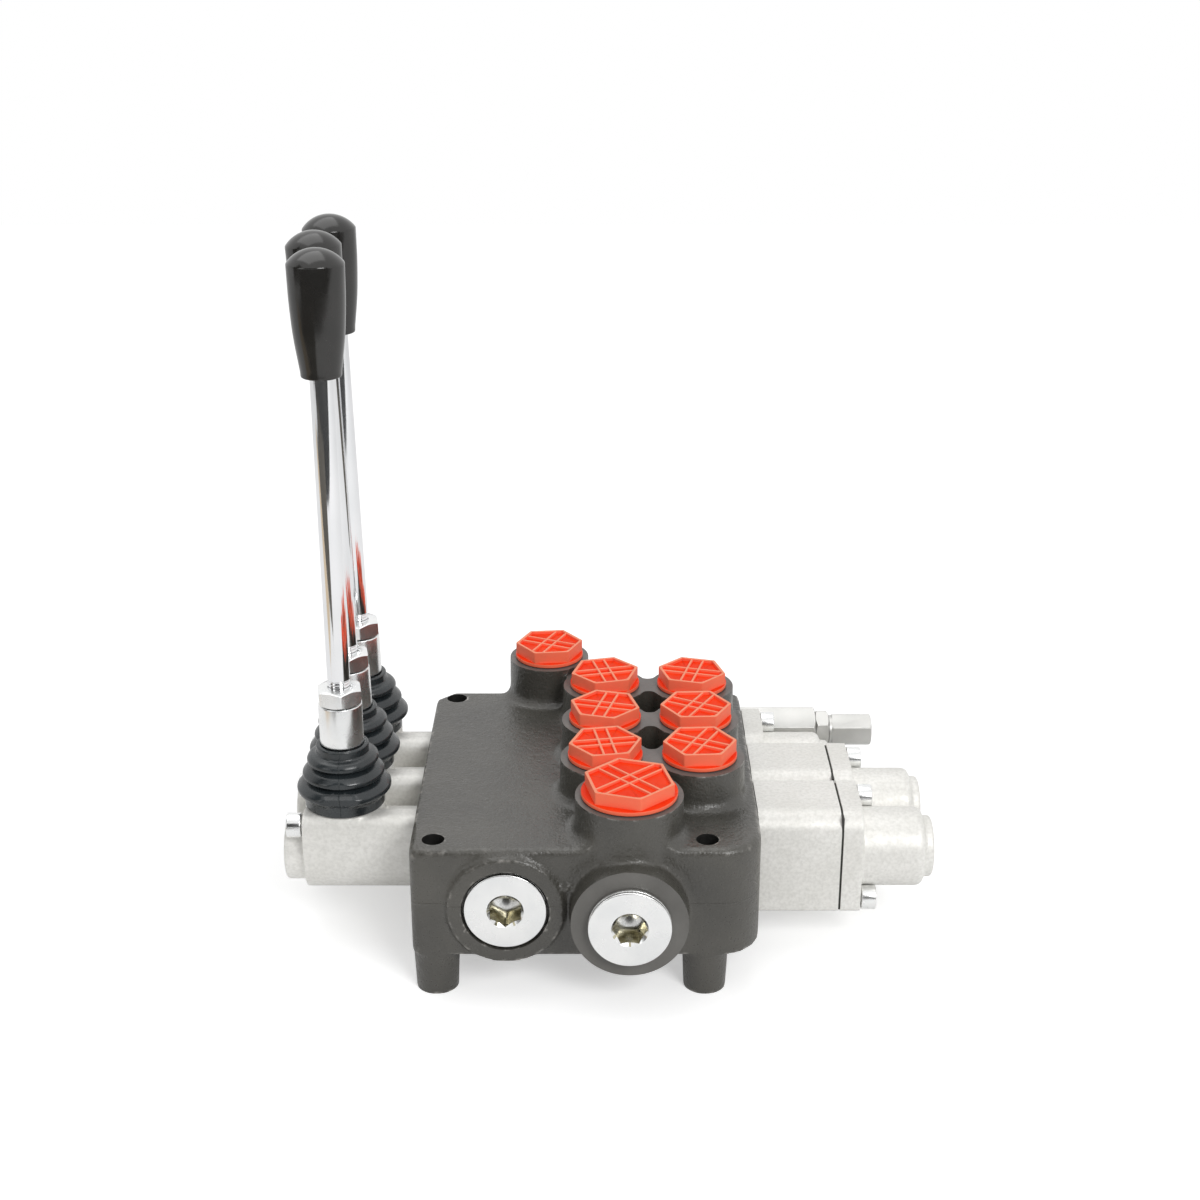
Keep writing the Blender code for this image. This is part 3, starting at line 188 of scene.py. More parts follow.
lamp("key_lamp", (1.1, -1.9, 1.7), 1.0, 32)
lamp("top_lamp", (-0.4, 0.6, 2.2), 1.8, 13)
lamp("fill_lamp", (-1.6, -1.4, 0.9), 0.8, 2)
card("card_left", (-1.2, -0.35, 0.5), MIDDLE, 0.5, 1.8)
card("card_right", (1.0, -0.9, 0.5), MIDDLE, 0.3, 1.8)
card("card_front", (0, -3.4, 1.6), MIDDLE, 6, 2.4)
card("card_low_front", (0, -2.1, 2 * MM), (0, -2.1, 1), 6, 2.9)
card("card_low_left", (-0.58, -0.62, 3 * MM), (-0.58, -0.62, 1), 0.76, 0.66, GREY_CARD)
card("card_warm", (-0.68, -0.2, 3 * MM), (-0.68, -0.2, 1), 0.7, 0.17, WARM_CARD)
print("stage of", len(bpy.data.lights), "lamps")

# %% [markdown]
# Every finish is a Principled shader with patterns on the piece's own coordinates, in metres: a scale of 500
# gives spots of about 2 mm. These helpers make the patterns, so that each finish below stays short.


# %% Helpers for the finishes
def new_finish(name, metallic=0.0):
    material = bpy.data.materials.new(name)
    material.use_nodes = True
    socket(material, "Metallic").default_value = metallic
    return material


def socket(material, name):
    return material.node_tree.nodes["Principled BSDF"].inputs[name]


def feed(material, name, value):
    material.node_tree.links.new(value, socket(material, name))


def cloud(material, scale, detail=3.0, stretch=(1, 1, 1)):
    """A noise on Object coordinates, stretched along an axis by a small number there."""
    tree = material.node_tree
    place = tree.nodes.new("ShaderNodeTexCoord")
    mapping = tree.nodes.new("ShaderNodeMapping")
    mapping.inputs["Scale"].default_value = stretch
    noise = tree.nodes.new("ShaderNodeTexNoise")
    noise.inputs["Scale"].default_value = scale
    noise.inputs["Detail"].default_value = detail
    tree.links.new(place.outputs["Object"], mapping.inputs["Vector"])
    tree.links.new(mapping.outputs["Vector"], noise.inputs["Vector"])
    return noise.outputs["Fac"]


def ramp(material, factor, *stops):
    """Turns a factor into colours, or greys, given as (place, value) stops."""
    tree = material.node_tree
    node = tree.nodes.new("ShaderNodeValToRGB")
    for element, (place, value) in zip(node.color_ramp.elements, stops):
        element.position = place
        element.color = (*value, 1) if isinstance(value, tuple) else (value, value, value, 1)
    tree.links.new(factor, node.inputs["Fac"])
    return node.outputs["Color"]


def mottle(material, name, spots, low, high):
    """Feeds a socket with a pattern that goes from a low value to a high one."""
    feed(material, name, ramp(material, spots, (0.3, low), (0.7, high)))


def mixed(material, factor, first, second):
    """Goes from the first colour to the second where the factor is 1."""
    tree = material.node_tree
    node = tree.nodes.new("ShaderNodeMix")
    node.data_type = "RGBA"
    tree.links.new(factor, node.inputs[0])
    tree.links.new(first, node.inputs[6])
    node.inputs[7].default_value = (*second, 1)
    return node.outputs[2]


def times(material, first, second):
    tree = material.node_tree
    node = tree.nodes.new("ShaderNodeMath")
    node.operation = "MULTIPLY"
    tree.links.new(first, node.inputs[0])
    tree.links.new(second, node.inputs[1])
    return node.outputs[0]


def emboss(material, *layers):
    """Adds bumps, each a (height, depth in metres) pair, on top of one another."""
    tree = material.node_tree
    normal = None
    for height, depth in layers:
        bump = tree.nodes.new("ShaderNodeBump")
        bump.inputs["Distance"].default_value = depth
        tree.links.new(height, bump.inputs["Height"])
        if normal is not None:
            tree.links.new(normal, bump.inputs["Normal"])
        normal = bump.outputs["Normal"]
    feed(material, "Normal", normal)


def edges(material, low, high):
    """1 on raised edges of a fine mesh and 0 on its flat faces."""
    geometry = material.node_tree.nodes.new("ShaderNodeNewGeometry")
    return ramp(material, geometry.outputs["Pointiness"], (low, 0.0), (high, 1.0))


def level_line(material, axis, level, width):
    """1 on a line round a piece, where a plane across an axis meets it, and 0 away from it."""
    tree = material.node_tree
    place = tree.nodes.new("ShaderNodeTexCoord")
    split = tree.nodes.new("ShaderNodeSeparateXYZ")
    tree.links.new(place.outputs["Object"], split.inputs[0])
    value = split.outputs[axis]
    for operation, amount in (("SUBTRACT", level), ("ABSOLUTE", 0.0), ("DIVIDE", width)):
        node = tree.nodes.new("ShaderNodeMath")
        node.operation = operation
        node.inputs[1].default_value = amount
        tree.links.new(value, node.inputs[0])
        value = node.outputs[0]
    return ramp(material, value, (0.2, 1.0), (1.0, 0.0))


print("finishes are ready to be mixed")

# %% [markdown]
# The casting is painted in one satin coat over sand-cast iron. The coat is close to black, and most of the
# grey that one sees is the white room on its satin skin. The skin keeps a fine grain, the paint has lighter
# and darker clouds, and a faint line shows where the mould's halves met. The raised edges are painted lighter
# in broken flecks: the paint is rubbed thin there, and the flecks are also a painted highlight for the glints
# of light along those edges. Faces that were machined before painting are smoother and lighter.

# %% Finish of the casting
IRON_PAINT = (0.073, 0.069, 0.058)
IRON_PAINT_DARK = (0.048, 0.0455, 0.0385)
IRON_RUBBED_AND_GLINT = (0.42, 0.4, 0.37)
PARTING_HEIGHT = 40.8 * MM
PARTING_WIDTH = 0.6 * MM

body_paint = new_finish("body_paint")
socket(body_paint, "Specular IOR Level").default_value = 0.75
coat = ramp(body_paint, cloud(body_paint, 28, 4), (0.35, IRON_PAINT_DARK), (0.65, IRON_PAINT))
# Light flecks on the raised edges: rubbed paint, and a painted highlight for the glints along them.
wear_and_glint_flecks = ramp(body_paint, cloud(body_paint, 260, 5), (0.5, 0.0), (0.66, 1.0))
rubbed_and_glint = times(body_paint, edges(body_paint, 0.514, 0.545), wear_and_glint_flecks)
feed(body_paint, "Base Color", mixed(body_paint, rubbed_and_glint, coat, IRON_RUBBED_AND_GLINT))
grit = cloud(body_paint, 900, 2)
mottle(body_paint, "Roughness", grit, 0.26, 0.44)
parting = level_line(body_paint, "Z", PARTING_HEIGHT, PARTING_WIDTH)
emboss(body_paint, (parting, 0.15 * MM), (cloud(body_paint, 260), 0.28 * MM), (grit, 0.25 * MM))

faced_paint = new_finish("faced_paint")
mottle(faced_paint, "Base Color", cloud(faced_paint, 60, 4), (0.108, 0.104, 0.096), (0.15, 0.145, 0.134))
mottle(faced_paint, "Roughness", cloud(faced_paint, 700, 2), 0.32, 0.44)
emboss(faced_paint, (cloud(faced_paint, 900, 2), 0.05 * MM))

# Walls of the bolt holes: bare iron, painted nearly black as painted shade inside the holes.
shaded_bore_iron = new_finish("shaded_bore_iron")
mottle(shaded_bore_iron, "Base Color", cloud(shaded_bore_iron, 300), (0.006, 0.0058, 0.0052), (0.016, 0.0154, 0.014))
socket(shaded_bore_iron, "Roughness").default_value = 0.6
print("painted", body_paint.name, faced_paint.name, shaded_bore_iron.name)

# %% [markdown]
# The transport caps are soft red plastic. Their rim, ribs and sides are painted lighter, nearly salmon, as a
# painted highlight and sheen where they catch the light. An attribute that the caps get when they are modelled
# says where.

# %% Finish of the transport caps
CAP_RED = (1.0, 0.058, 0.008)
CAP_RED_DEEP = (0.95, 0.042, 0.005)
CAP_SHEEN_SALMON = (1.0, 0.35, 0.21)

cap_red = new_finish("cap_red")
socket(cap_red, "Specular IOR Level").default_value = 0.12
red = ramp(cap_red, cloud(cap_red, 90), (0.35, CAP_RED_DEEP), (0.65, CAP_RED))
ridge = cap_red.node_tree.nodes.new("ShaderNodeAttribute")
ridge.attribute_name = "ridge"
# Painted highlight and sheen: salmon where the cap's attribute is set.
feed(cap_red, "Base Color", mixed(cap_red, ridge.outputs["Fac"], red, CAP_SHEEN_SALMON))
mottle(cap_red, "Roughness", cloud(cap_red, 400, 2), 0.38, 0.52)
emboss(cap_red, (cloud(cap_red, 500, 2), 0.04 * MM))
socket(cap_red, "Subsurface Weight").default_value = 0.05
socket(cap_red, "Subsurface Radius").default_value = (2 * MM, 0.6 * MM, 0.3 * MM)
socket(cap_red, "Subsurface Scale").default_value = 1.0
print("caps", cap_red.name)

# %% [markdown]
# Plugs, screws, nuts and sleeves are zinc plated steel. Zinc is bright but not a mirror: it is slightly
# cloudy. On the relief valve it has gone dull. The levers' rods are hard chrome, smoother and bluer. The
# sockets of the plugs keep a yellow tint from the plating bath, and their walls are painted darker as painted
# shade in the recess.

# %% Finishes of the plated steel
zinc = new_finish("zinc_steel", 1.0)
mottle(zinc, "Base Color", cloud(zinc, 70), (0.82, 0.83, 0.83), (0.92, 0.92, 0.91))
mottle(zinc, "Roughness", cloud(zinc, 150), 0.2, 0.3)

dull_zinc = new_finish("dull_zinc_steel", 0.85)
mottle(dull_zinc, "Base Color", cloud(dull_zinc, 90), (0.52, 0.52, 0.5), (0.63, 0.625, 0.605))
mottle(dull_zinc, "Roughness", cloud(dull_zinc, 180), 0.34, 0.46)

# Socket walls: a yellow plating tint, painted darker as painted shade in the recess.
socket_tint_and_shade = new_finish("socket_tint_and_shade", 1.0)
tint_and_shade = ramp(socket_tint_and_shade, cloud(socket_tint_and_shade, 200), (0.35, (0.36, 0.33, 0.22)), (0.65, (0.62, 0.59, 0.46)))
feed(socket_tint_and_shade, "Base Color", tint_and_shade)
mottle(socket_tint_and_shade, "Roughness", cloud(socket_tint_and_shade, 400, 2), 0.12, 0.22)

chrome = new_finish("chrome_rod", 1.0)
mottle(chrome, "Base Color", cloud(chrome, 40, 2), (0.8, 0.81, 0.82), (0.88, 0.88, 0.89))
mottle(chrome, "Roughness", cloud(chrome, 90, 4, (1, 1, 0.05)), 0.06, 0.14)

hard_steel = new_finish("hard_steel", 1.0)
mottle(hard_steel, "Base Color", cloud(hard_steel, 150), (0.3, 0.3, 0.31), (0.42, 0.42, 0.43))
mottle(hard_steel, "Roughness", cloud(hard_steel, 500), 0.22, 0.38)
print("steel", zinc.name, dull_zinc.name, socket_tint_and_shade.name, chrome.name, hard_steel.name)

# %% [markdown]
# The brackets, spring boxes and end caps are pressure die-cast aluminium, tumbled to a pale matt grey. The
# skin is fine and even, with faint clouds and a few darker specks. The gaskets between them are thin dark
# paper.

# %% Finishes of the aluminium and the gaskets
aluminium = new_finish("cast_aluminium", 0.25)
pale = ramp(aluminium, cloud(aluminium, 60, 4), (0.35, (0.84, 0.83, 0.79)), (0.65, (0.91, 0.9, 0.865)))
grain = ramp(aluminium, cloud(aluminium, 750, 2), (0.35, 0.0), (0.75, 0.6))
grainy = mixed(aluminium, grain, pale, (0.66, 0.65, 0.61))
specks = ramp(aluminium, cloud(aluminium, 420, 2), (0.76, 0.0), (0.84, 0.8))
feed(aluminium, "Base Color", mixed(aluminium, specks, grainy, (0.5, 0.49, 0.46)))
mottle(aluminium, "Roughness", cloud(aluminium, 300), 0.4, 0.55)
emboss(aluminium, (cloud(aluminium, 160), 0.1 * MM), (cloud(aluminium, 900, 2), 0.05 * MM))

gasket_paper = new_finish("gasket_paper")
mottle(gasket_paper, "Base Color", cloud(gasket_paper, 300), (0.035, 0.034, 0.032), (0.07, 0.068, 0.062))
socket(gasket_paper, "Roughness").default_value = 0.85
print("aluminium", aluminium.name, gasket_paper.name)

# %% [markdown]
# The boots are moulded rubber, nearly black with a blue bloom, dull in the folds and with a soft sheen on the
# ribs. A fine seam shows where the halves of their mould met. The knobs are hard black plastic with a polish.

# %% Finishes of the rubber and the knobs
BOOT_SEAM = -106.75 * MM
SEAM_WIDTH = 0.35 * MM

rubber = new_finish("boot_rubber")
socket(rubber, "Specular IOR Level").default_value = 0.62
mottle(rubber, "Base Color", cloud(rubber, 120, 4), (0.011, 0.0144, 0.0165), (0.024, 0.0305, 0.034))
mottle(rubber, "Roughness", cloud(rubber, 300), 0.2, 0.34)
seam = level_line(rubber, "X", BOOT_SEAM, SEAM_WIDTH)
emboss(rubber, (seam, 0.15 * MM), (cloud(rubber, 90), 0.12 * MM), (cloud(rubber, 700, 2), 0.03 * MM))

black_plastic = new_finish("black_knob")
socket(black_plastic, "Specular IOR Level").default_value = 0.6
mottle(black_plastic, "Base Color", cloud(black_plastic, 60), (0.014, 0.0133, 0.012), (0.023, 0.0218, 0.0198))
mottle(black_plastic, "Roughness", cloud(black_plastic, 200), 0.12, 0.2)
emboss(black_plastic, (cloud(black_plastic, 70, 2), 0.05 * MM))
print("soft and moulded", rubber.name, black_plastic.name)

# %% [markdown]
# Modelling starts from primitives that are added at their size and place. Three starts carry most of this
# valve: a block, a drum along an axis, and a turned piece, whose half outline is drawn point by point and
# spun. Each leaves its object at the origin.

# %% Helpers for modelling
AXES = {"X": Vector((1, 0, 0)), "Y": Vector((0, 1, 0)), "Z": Vector((0, 0, 1))}
OUT = {"X": Vector((0, 0, 1)), "Y": Vector((1, 0, 0)), "Z": Vector((1, 0, 0))}
TO_AXIS = {"X": (0, math.pi / 2, 0), "Y": (-math.pi / 2, 0, 0), "Z": (0, 0, 0)}
ORIGIN = (0, 0, 0)
TINY = 0.01 * MM
WELD = 0.002 * MM


def only(piece):
    """Leaves one piece selected and active."""
    bpy.ops.object.select_all(action="DESELECT")
    piece.select_set(True)
    bpy.context.view_layer.objects.active = piece
    return piece


def settle(piece):
    """Moves a piece's place, turn and size into its mesh."""
    only(piece)
    bpy.ops.object.transform_apply(location=True, rotation=True, scale=True)
    return piece


def block(name, low, high):
    """A box between two corners."""
    low, high = Vector(low), Vector(high)
    bpy.ops.object.select_all(action="DESELECT")
    bpy.ops.mesh.primitive_cube_add(size=1, location=(low + high) / 2)
    piece = bpy.context.object
    piece.name = name
    piece.scale = high - low
    return settle(piece)


def drum(name, axis, centre, low, high, radius, end_radius=None, sides=96):
    """A cylinder, or a cone with its own end radius, along an axis through a centre."""
    bpy.ops.object.select_all(action="DESELECT")
    bpy.ops.mesh.primitive_cone_add(
        vertices=sides,
        radius1=radius,
        radius2=radius if end_radius is None else end_radius,
        depth=high - low,
        location=Vector(centre) + AXES[axis] * (low + high) / 2,
        rotation=TO_AXIS[axis],
    )
    piece = bpy.context.object
    piece.name = name
    return settle(piece)


def turned(name, axis, centre, profile, steps=96):
    """Draws a half outline of (radius, along) points and spins it once round."""
    centre = Vector(centre)
    points = [centre + OUT[axis] * radius + AXES[axis] * along for radius, along in profile]
    bpy.ops.object.select_all(action="DESELECT")
    bpy.ops.mesh.primitive_plane_add(size=MM)
    piece = bpy.context.object
    piece.name = name
    bpy.ops.object.mode_set(mode="EDIT")
    bpy.ops.mesh.select_mode(type="VERT")
    bpy.ops.mesh.select_all(action="SELECT")
    bpy.ops.mesh.merge(type="CENTER")
    bpy.ops.transform.translate(value=points[0])
    for before, after in zip(points, points[1:]):
        bpy.ops.mesh.extrude_region_move(TRANSFORM_OT_translate={"value": after - before})
    bpy.ops.mesh.select_all(action="SELECT")
    bpy.ops.mesh.spin(steps=steps, angle=2 * math.pi, center=centre, axis=AXES[axis])
    bpy.ops.mesh.select_all(action="SELECT")
    bpy.ops.mesh.remove_doubles(threshold=WELD)
    bpy.ops.mesh.normals_make_consistent(inside=False)
    bpy.ops.object.mode_set(mode="OBJECT")
    return piece


def eased(profile, radius, steps=4):
    """Rounds the corners of a half outline, as a tool with a small radius leaves them."""
    soft = [profile[0]]
    for before, corner, after in zip(profile, profile[1:], profile[2:]):
        here = Vector(corner)
        back, on = Vector(before) - here, Vector(after) - here
        reach = min(radius, back.length / 2.2, on.length / 2.2)
        start, end = here + back.normalized() * reach, here + on.normalized() * reach
        for step in range(steps + 1):
            t = step / steps
            soft.append(tuple(start * (1 - t) ** 2 + here * 2 * t * (1 - t) + end * t**2))
    return [*soft, profile[-1]]


print("three starts: block, drum, turned")

# %% [markdown]
# A start becomes a piece by bevels on chosen edges, by booleans and by modifiers. Castings are melted from
# lumps: a voxel remesh makes one skin of them, and smoothing rounds every corner at once.


# %% Helpers for shaping
def pick(piece, kind, test):
    """In edit mode, selects the edges or faces that pass a test."""
    bpy.ops.mesh.select_mode(type=kind)
    bpy.ops.mesh.select_all(action="DESELECT")
    shape = bmesh.from_edit_mesh(piece.data)
    for item in shape.edges if kind == "EDGE" else shape.faces:
        if test(item):
            item.select_set(True)
    bmesh.update_edit_mesh(piece.data)


def rounded(piece, test, radius, segments=8):
    """Rounds the edges that pass a test."""
    only(piece)
    bpy.ops.object.mode_set(mode="EDIT")
    pick(piece, "EDGE", test)
    bpy.ops.mesh.bevel(offset=radius, segments=segments, affect="EDGES")
    bpy.ops.object.mode_set(mode="OBJECT")
    return piece


def runs_along(axis):
    """A test for edges that run along an axis."""
    return lambda edge: abs((edge.verts[0].co - edge.verts[1].co).dot(AXES[axis])) > MM


def with_modifier(piece, kind, **settings):
    """Adds a modifier with its settings and applies it."""
    step = piece.modifiers.new(kind.lower(), kind)
    for key, value in settings.items():
        setattr(step, key, value)
    only(piece)
    bpy.ops.object.modifier_apply(modifier=step.name)
    return piece


def cut(piece, tool, operation="DIFFERENCE"):
    """Cuts a tool away from a piece, adds it, or keeps what both share, and deletes the tool."""
    with_modifier(piece, "BOOLEAN", object=tool, operation=operation, solver="MANIFOLD")
    spare = tool.data
    bpy.data.objects.remove(tool)
    bpy.data.meshes.remove(spare)
    return piece


def cast(name, lumps, grain, softness):
    """Melts overlapping lumps into one skin and softens its corners, as a casting's are."""
    bpy.ops.object.select_all(action="DESELECT")
    for lump in lumps:
        lump.select_set(True)
    piece = lumps[0]
    bpy.context.view_layer.objects.active = piece
    bpy.ops.object.join()
    piece.name = name
    with_modifier(piece, "REMESH", mode="VOXEL", voxel_size=grain)
    return with_modifier(piece, "SMOOTH", factor=0.5, iterations=softness)


def another(piece, name, move=ORIGIN, turn=0.0, axis="Y", about=ORIGIN):
    """A copy with its own mesh, turned about a point and moved."""
    copy = piece.copy()
    copy.data = piece.data.copy()
    copy.name = name
    bpy.context.scene.collection.objects.link(copy)
    about = Vector(about)
    spin = Matrix.Translation(about) @ Matrix.Rotation(turn, 4, axis) @ Matrix.Translation(-about)
    copy.matrix_world = Matrix.Translation(Vector(move)) @ spin
    return settle(copy)


def discard(*masters):
    """Deletes the models that copies were taken from."""
    for master in masters:
        bpy.data.objects.remove(master)


def coat_with(piece, slot, *finishes, smooth=32):
    """Shades a piece smooth up to an angle and gives it its finishes; the slot is not used."""
    only(piece)
    bpy.ops.object.shade_smooth_by_angle(angle=math.radians(smooth))
    if finishes:
        piece.data.materials.clear()
    for finish in finishes:
        piece.data.materials.append(finish)


def dress(piece, body, slot, *finishes, node=None):
    """Finishes a piece, gives it its body and lets it stand for a working solid."""
    coat_with(piece, slot, *finishes)
    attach(piece, body)
    if node:
        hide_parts(node)
    return piece


def middle(node):
    """The centre of a working solid's box."""
    low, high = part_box(node)
    return (low + high) / 2


NUMBERS = (1, 2, 3)
ROWS = [middle(f"lever_bracket_{n}").y for n in NUMBERS]
print("rows at", [round(row / MM, 1) for row in ROWS])

# %% [markdown]
# The body is the piece that takes the most care. A patternmaker builds such a casting from plain lumps and
# runs a fillet along every corner. Modelled edge by edge, those fillets never meet well, so the lumps are
# laid into each other and melted. Bosses and feet are left too long at first, because they are machined
# later. The plate comes first, with its four corners and its upper front edge rounded.

# %% The casting's plate
PLATE_FRONT = -74.5 * MM
PLATE_REAR = 70.5 * MM
PLATE_UNDER = 18 * MM
PLATE_TOP = 64 * MM
PLATE_EDGE = 2.6 * MM
SPARE = 2 * MM  # what the machining takes off
CORNERS = {(-1, -1): (4 * MM, 8), (1, -1): (16 * MM, 8), (1, 1): (6 * MM, 8), (-1, 1): (8 * MM, 1)}

body_low, body_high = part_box("valve_body")
body_middle = middle("valve_body").x


def corner_at(side, end):
    """A test for the upright edge at one corner of the plate."""
    upright = runs_along("Z")

    def test(edge):
        place = edge.verts[0].co
        return upright(edge) and (place.x - body_middle) * side > 0 and place.y * end > 0

    return test


def upper_front(edge):
    """Tells the edges along the plate's top at the front and round the front corners."""
    end = PLATE_FRONT + CORNERS[1, -1][0] + SPARE
    return all(v.co.z > PLATE_TOP - MM and v.co.y < end for v in edge.verts)


plate = block("plate", (body_low.x, PLATE_FRONT, PLATE_UNDER), (body_high.x, PLATE_REAR, PLATE_TOP))
for (side, end), (radius, segments) in CORNERS.items():
    rounded(plate, corner_at(side, end), radius, segments)
rounded(plate, upper_front, PLATE_EDGE, 6)
print("plate of", len(plate.data.polygons), "faces")

# %% [markdown]
# On the plate stand a boss for each port, webs between them, a wall along the right, the rings of the two
# plugs and the gallery at the rear. Each boss has a cone at its root, which the smoothing turns into a
# fillet. Two pimples on the front were left by holes in the mould.

# %% The casting's lumps
RIM = 79 * MM
INLET_RIM = 81.5 * MM
SUNK = 8 * MM  # how deep a lump reaches into the one that carries it
BOSS = 18 * MM
TANK_BOSS = 21 * MM
INLET_BOSS = 17.5 * MM
DRAFT = 0.5 * MM
FILLET = 3 * MM
WEB = 6.5 * MM
TANK_WEB = 11 * MM
WALL_RIGHT = 53.25 * MM
WALL_TOP = 76 * MM
FOOT = 8.75 * MM
FOOT_ROOT = 9.4 * MM
FOOT_XS = (-67.75 * MM, 37.45 * MM)
FOOT_YS = (-65.5 * MM, 64.1 * MM)
GALLERY = 15 * MM
INLET_RING = 22.75 * MM
INLET_FACE = -77 * MM
TANK_RING = 22.5 * MM
TANK_FACE = -85.5 * MM
PIMPLES = ((-16.3 * MM, 48.4 * MM, 2.4 * MM), (-18.3 * MM, 37.9 * MM, 2.1 * MM))
BODY_GRAIN = 1.0 * MM
BODY_SOFTNESS = 8

port_a = [middle(f"port_cap_a{n}") for n in NUMBERS]
port_b = [middle(f"port_cap_b{n}") for n in NUMBERS]
tank, inlet = middle("tank_port_cap"), middle("inlet_port_cap")
tank_plug, inlet_plug = middle("tank_gallery_plug"), middle("inlet_gallery_plug")
relief = middle("relief_lock_nut")
bosses = [(port, BOSS, RIM) for port in port_a + port_b]
bosses += [(tank, TANK_BOSS, RIM), (inlet, INLET_BOSS, INLET_RIM)]


def boss(port, start, rim, radius):
    return drum("boss", "Z", (port.x, port.y, 0), start, rim + SPARE, radius + DRAFT, radius)


lumps = [plate]
sunk = PLATE_TOP - SUNK
deep = PLATE_UNDER + SUNK
for port, radius, _ in bosses:
    wide = radius + FILLET + SUNK
    fillet = drum("fillet", "Z", (port.x, port.y, 0), sunk, PLATE_TOP + FILLET, wide, radius)
    room = block("room", (body_low.x, PLATE_FRONT, 0), (WALL_RIGHT, PLATE_REAR, 2 * PLATE_TOP))
    lumps.append(cut(fillet, room, "INTERSECT"))
for x in FOOT_XS:
    for y in FOOT_YS:
        lumps.append(drum("foot", "Z", (x, y, 0), -SPARE, deep, FOOT - DRAFT, FOOT_ROOT))
for a, b in zip(port_a, port_b):
    lumps += [boss(port, sunk, RIM, BOSS) for port in (a, b)]
    lumps.append(block("web", (a.x, a.y - WEB, sunk), (b.x, a.y + WEB, RIM + SPARE)))
lumps.append(block("wall", (port_b[0].x, port_b[0].y, sunk), (WALL_RIGHT, port_b[2].y, WALL_TOP)))
lumps.append(boss(tank, deep, RIM, TANK_BOSS))
tank_web_end = (tank.x + TANK_WEB, port_a[0].y, RIM + SPARE)
lumps.append(block("tank_web", (tank.x - TANK_WEB, tank.y, sunk), tank_web_end))
lumps.append(boss(inlet, deep, INLET_RIM, INLET_BOSS))
lumps.append(drum("gallery", "X", (0, relief.y, relief.z), inlet.x, body_high.x, GALLERY))
for plug, radius, start in ((inlet_plug, INLET_RING, INLET_FACE), (tank_plug, TANK_RING, TANK_FACE - SPARE)):
    lumps.append(drum("ring", "Y", (plug.x, 0, plug.z), start, PLATE_FRONT + 2 * SUNK, radius))

reach = (port_a[2] - inlet).xy
inlet_web = block("inlet_web", (0, -WEB, sunk), (reach.length, WEB, RIM))
inlet_web.rotation_euler.z = math.atan2(reach.y, reach.x)
inlet_web.location = (inlet.x, inlet.y, 0)
lumps.append(settle(inlet_web))
for x, z, radius in PIMPLES:
    bpy.ops.mesh.primitive_uv_sphere_add(radius=radius, location=(x, PLATE_FRONT + radius / 4, z))
    lumps.append(settle(bpy.context.object))
lump_count = len(lumps)
casting = cast("casting", lumps, BODY_GRAIN, BODY_SOFTNESS)
print("casting melted from", lump_count, "lumps:", len(casting.data.polygons), "faces")

# %% [markdown]
# Machining comes after the casting, as in the foundry: the rims, the tank's ring and the feet are faced flat,
# and the ports, spool bores and bolt holes are drilled. Booleans do that, because they leave the crisp edges
# that a cutter leaves.

# %% Machining the casting
PORT = 8.6 * MM
TANK_PORT = 10.8 * MM
PORT_DEEP = 13 * MM
PORT_LEAD = 1.6 * MM
BOLT_HOLE = 4.4 * MM
BOLT_HOLES = [Vector((FOOT_XS[i], FOOT_YS[j])) for i, j in ((0, 0), (1, 0), (0, 1))]
SPOOL_BORE = 7.3 * MM
SPOOL_CUTTER = 0.2  # reaches through the body both ways
THREAD_BORE = 13 * MM
THREAD_DEEP = 14.3 * MM
PLUG_RECESS = 17 * MM
PLUG_SEAT = 4 * MM  # depth of the recess that the inlet plug sits in
RELIEF_BORE = 8.3 * MM
RELIEF_DEEP = 18.3 * MM
OVER = 1.2 * MM  # how far a cutter passes the edge of what it faces
above = RIM + 2 * SUNK

for port, radius, rim in bosses:
    cut(casting, drum("facing", "Z", (port.x, port.y, 0), rim, rim + 2 * SUNK, radius + OVER))
for a, b in zip(port_a, port_b):
    cut(casting, block("facing", (a.x, a.y - WEB - OVER, RIM), (b.x, a.y + WEB + OVER, above)))
tank_low = (tank.x - TANK_WEB - OVER, tank.y, RIM)
cut(casting, block("facing", tank_low, (tank.x + TANK_WEB + OVER, port_a[0].y, above)))
tank_axis, inlet_axis = (tank_plug.x, 0, tank_plug.z), (inlet_plug.x, 0, inlet_plug.z)
cut(casting, drum("facing", "Y", tank_axis, TANK_FACE - 2 * SUNK, TANK_FACE, TANK_RING + OVER))
cut(casting, block("facing", (-FLOOR_SIZE, -FLOOR_SIZE, -SUNK), (FLOOR_SIZE, FLOOR_SIZE, 0)))

for port, radius, rim in bosses:
    bore = TANK_PORT if port is tank else PORT
    mouth, end, over = bore + PORT_LEAD, rim - PORT_DEEP, rim + SUNK
    outline = [(0, end), (bore, end), (bore, rim - PORT_LEAD), (mouth, rim), (mouth, over), (0, over)]
    cut(casting, turned("port", "Z", (port.x, port.y, 0), outline, 64))
for row in ROWS:
    spool_axis = (0, row, tank_plug.z)
    cut(casting, drum("spool_bore", "X", spool_axis, -SPOOL_CUTTER, SPOOL_CUTTER, SPOOL_BORE, sides=48))
for place in BOLT_HOLES:
    cut(casting, drum("bolt_hole", "Z", (*place, 0), -SUNK, RIM, BOLT_HOLE, sides=48))
cut(casting, drum("plug_bore", "Y", tank_axis, TANK_FACE - SUNK, TANK_FACE + THREAD_DEEP, THREAD_BORE))
inlet_seat = INLET_FACE + PLUG_SEAT
cut(casting, drum("plug_recess", "Y", inlet_axis, INLET_FACE - SUNK, inlet_seat, PLUG_RECESS))
cut(casting, drum("plug_bore", "Y", inlet_axis, INLET_FACE, inlet_seat + THREAD_DEEP, THREAD_BORE))
relief_axis, right = (0, relief.y, relief.z), body_high.x
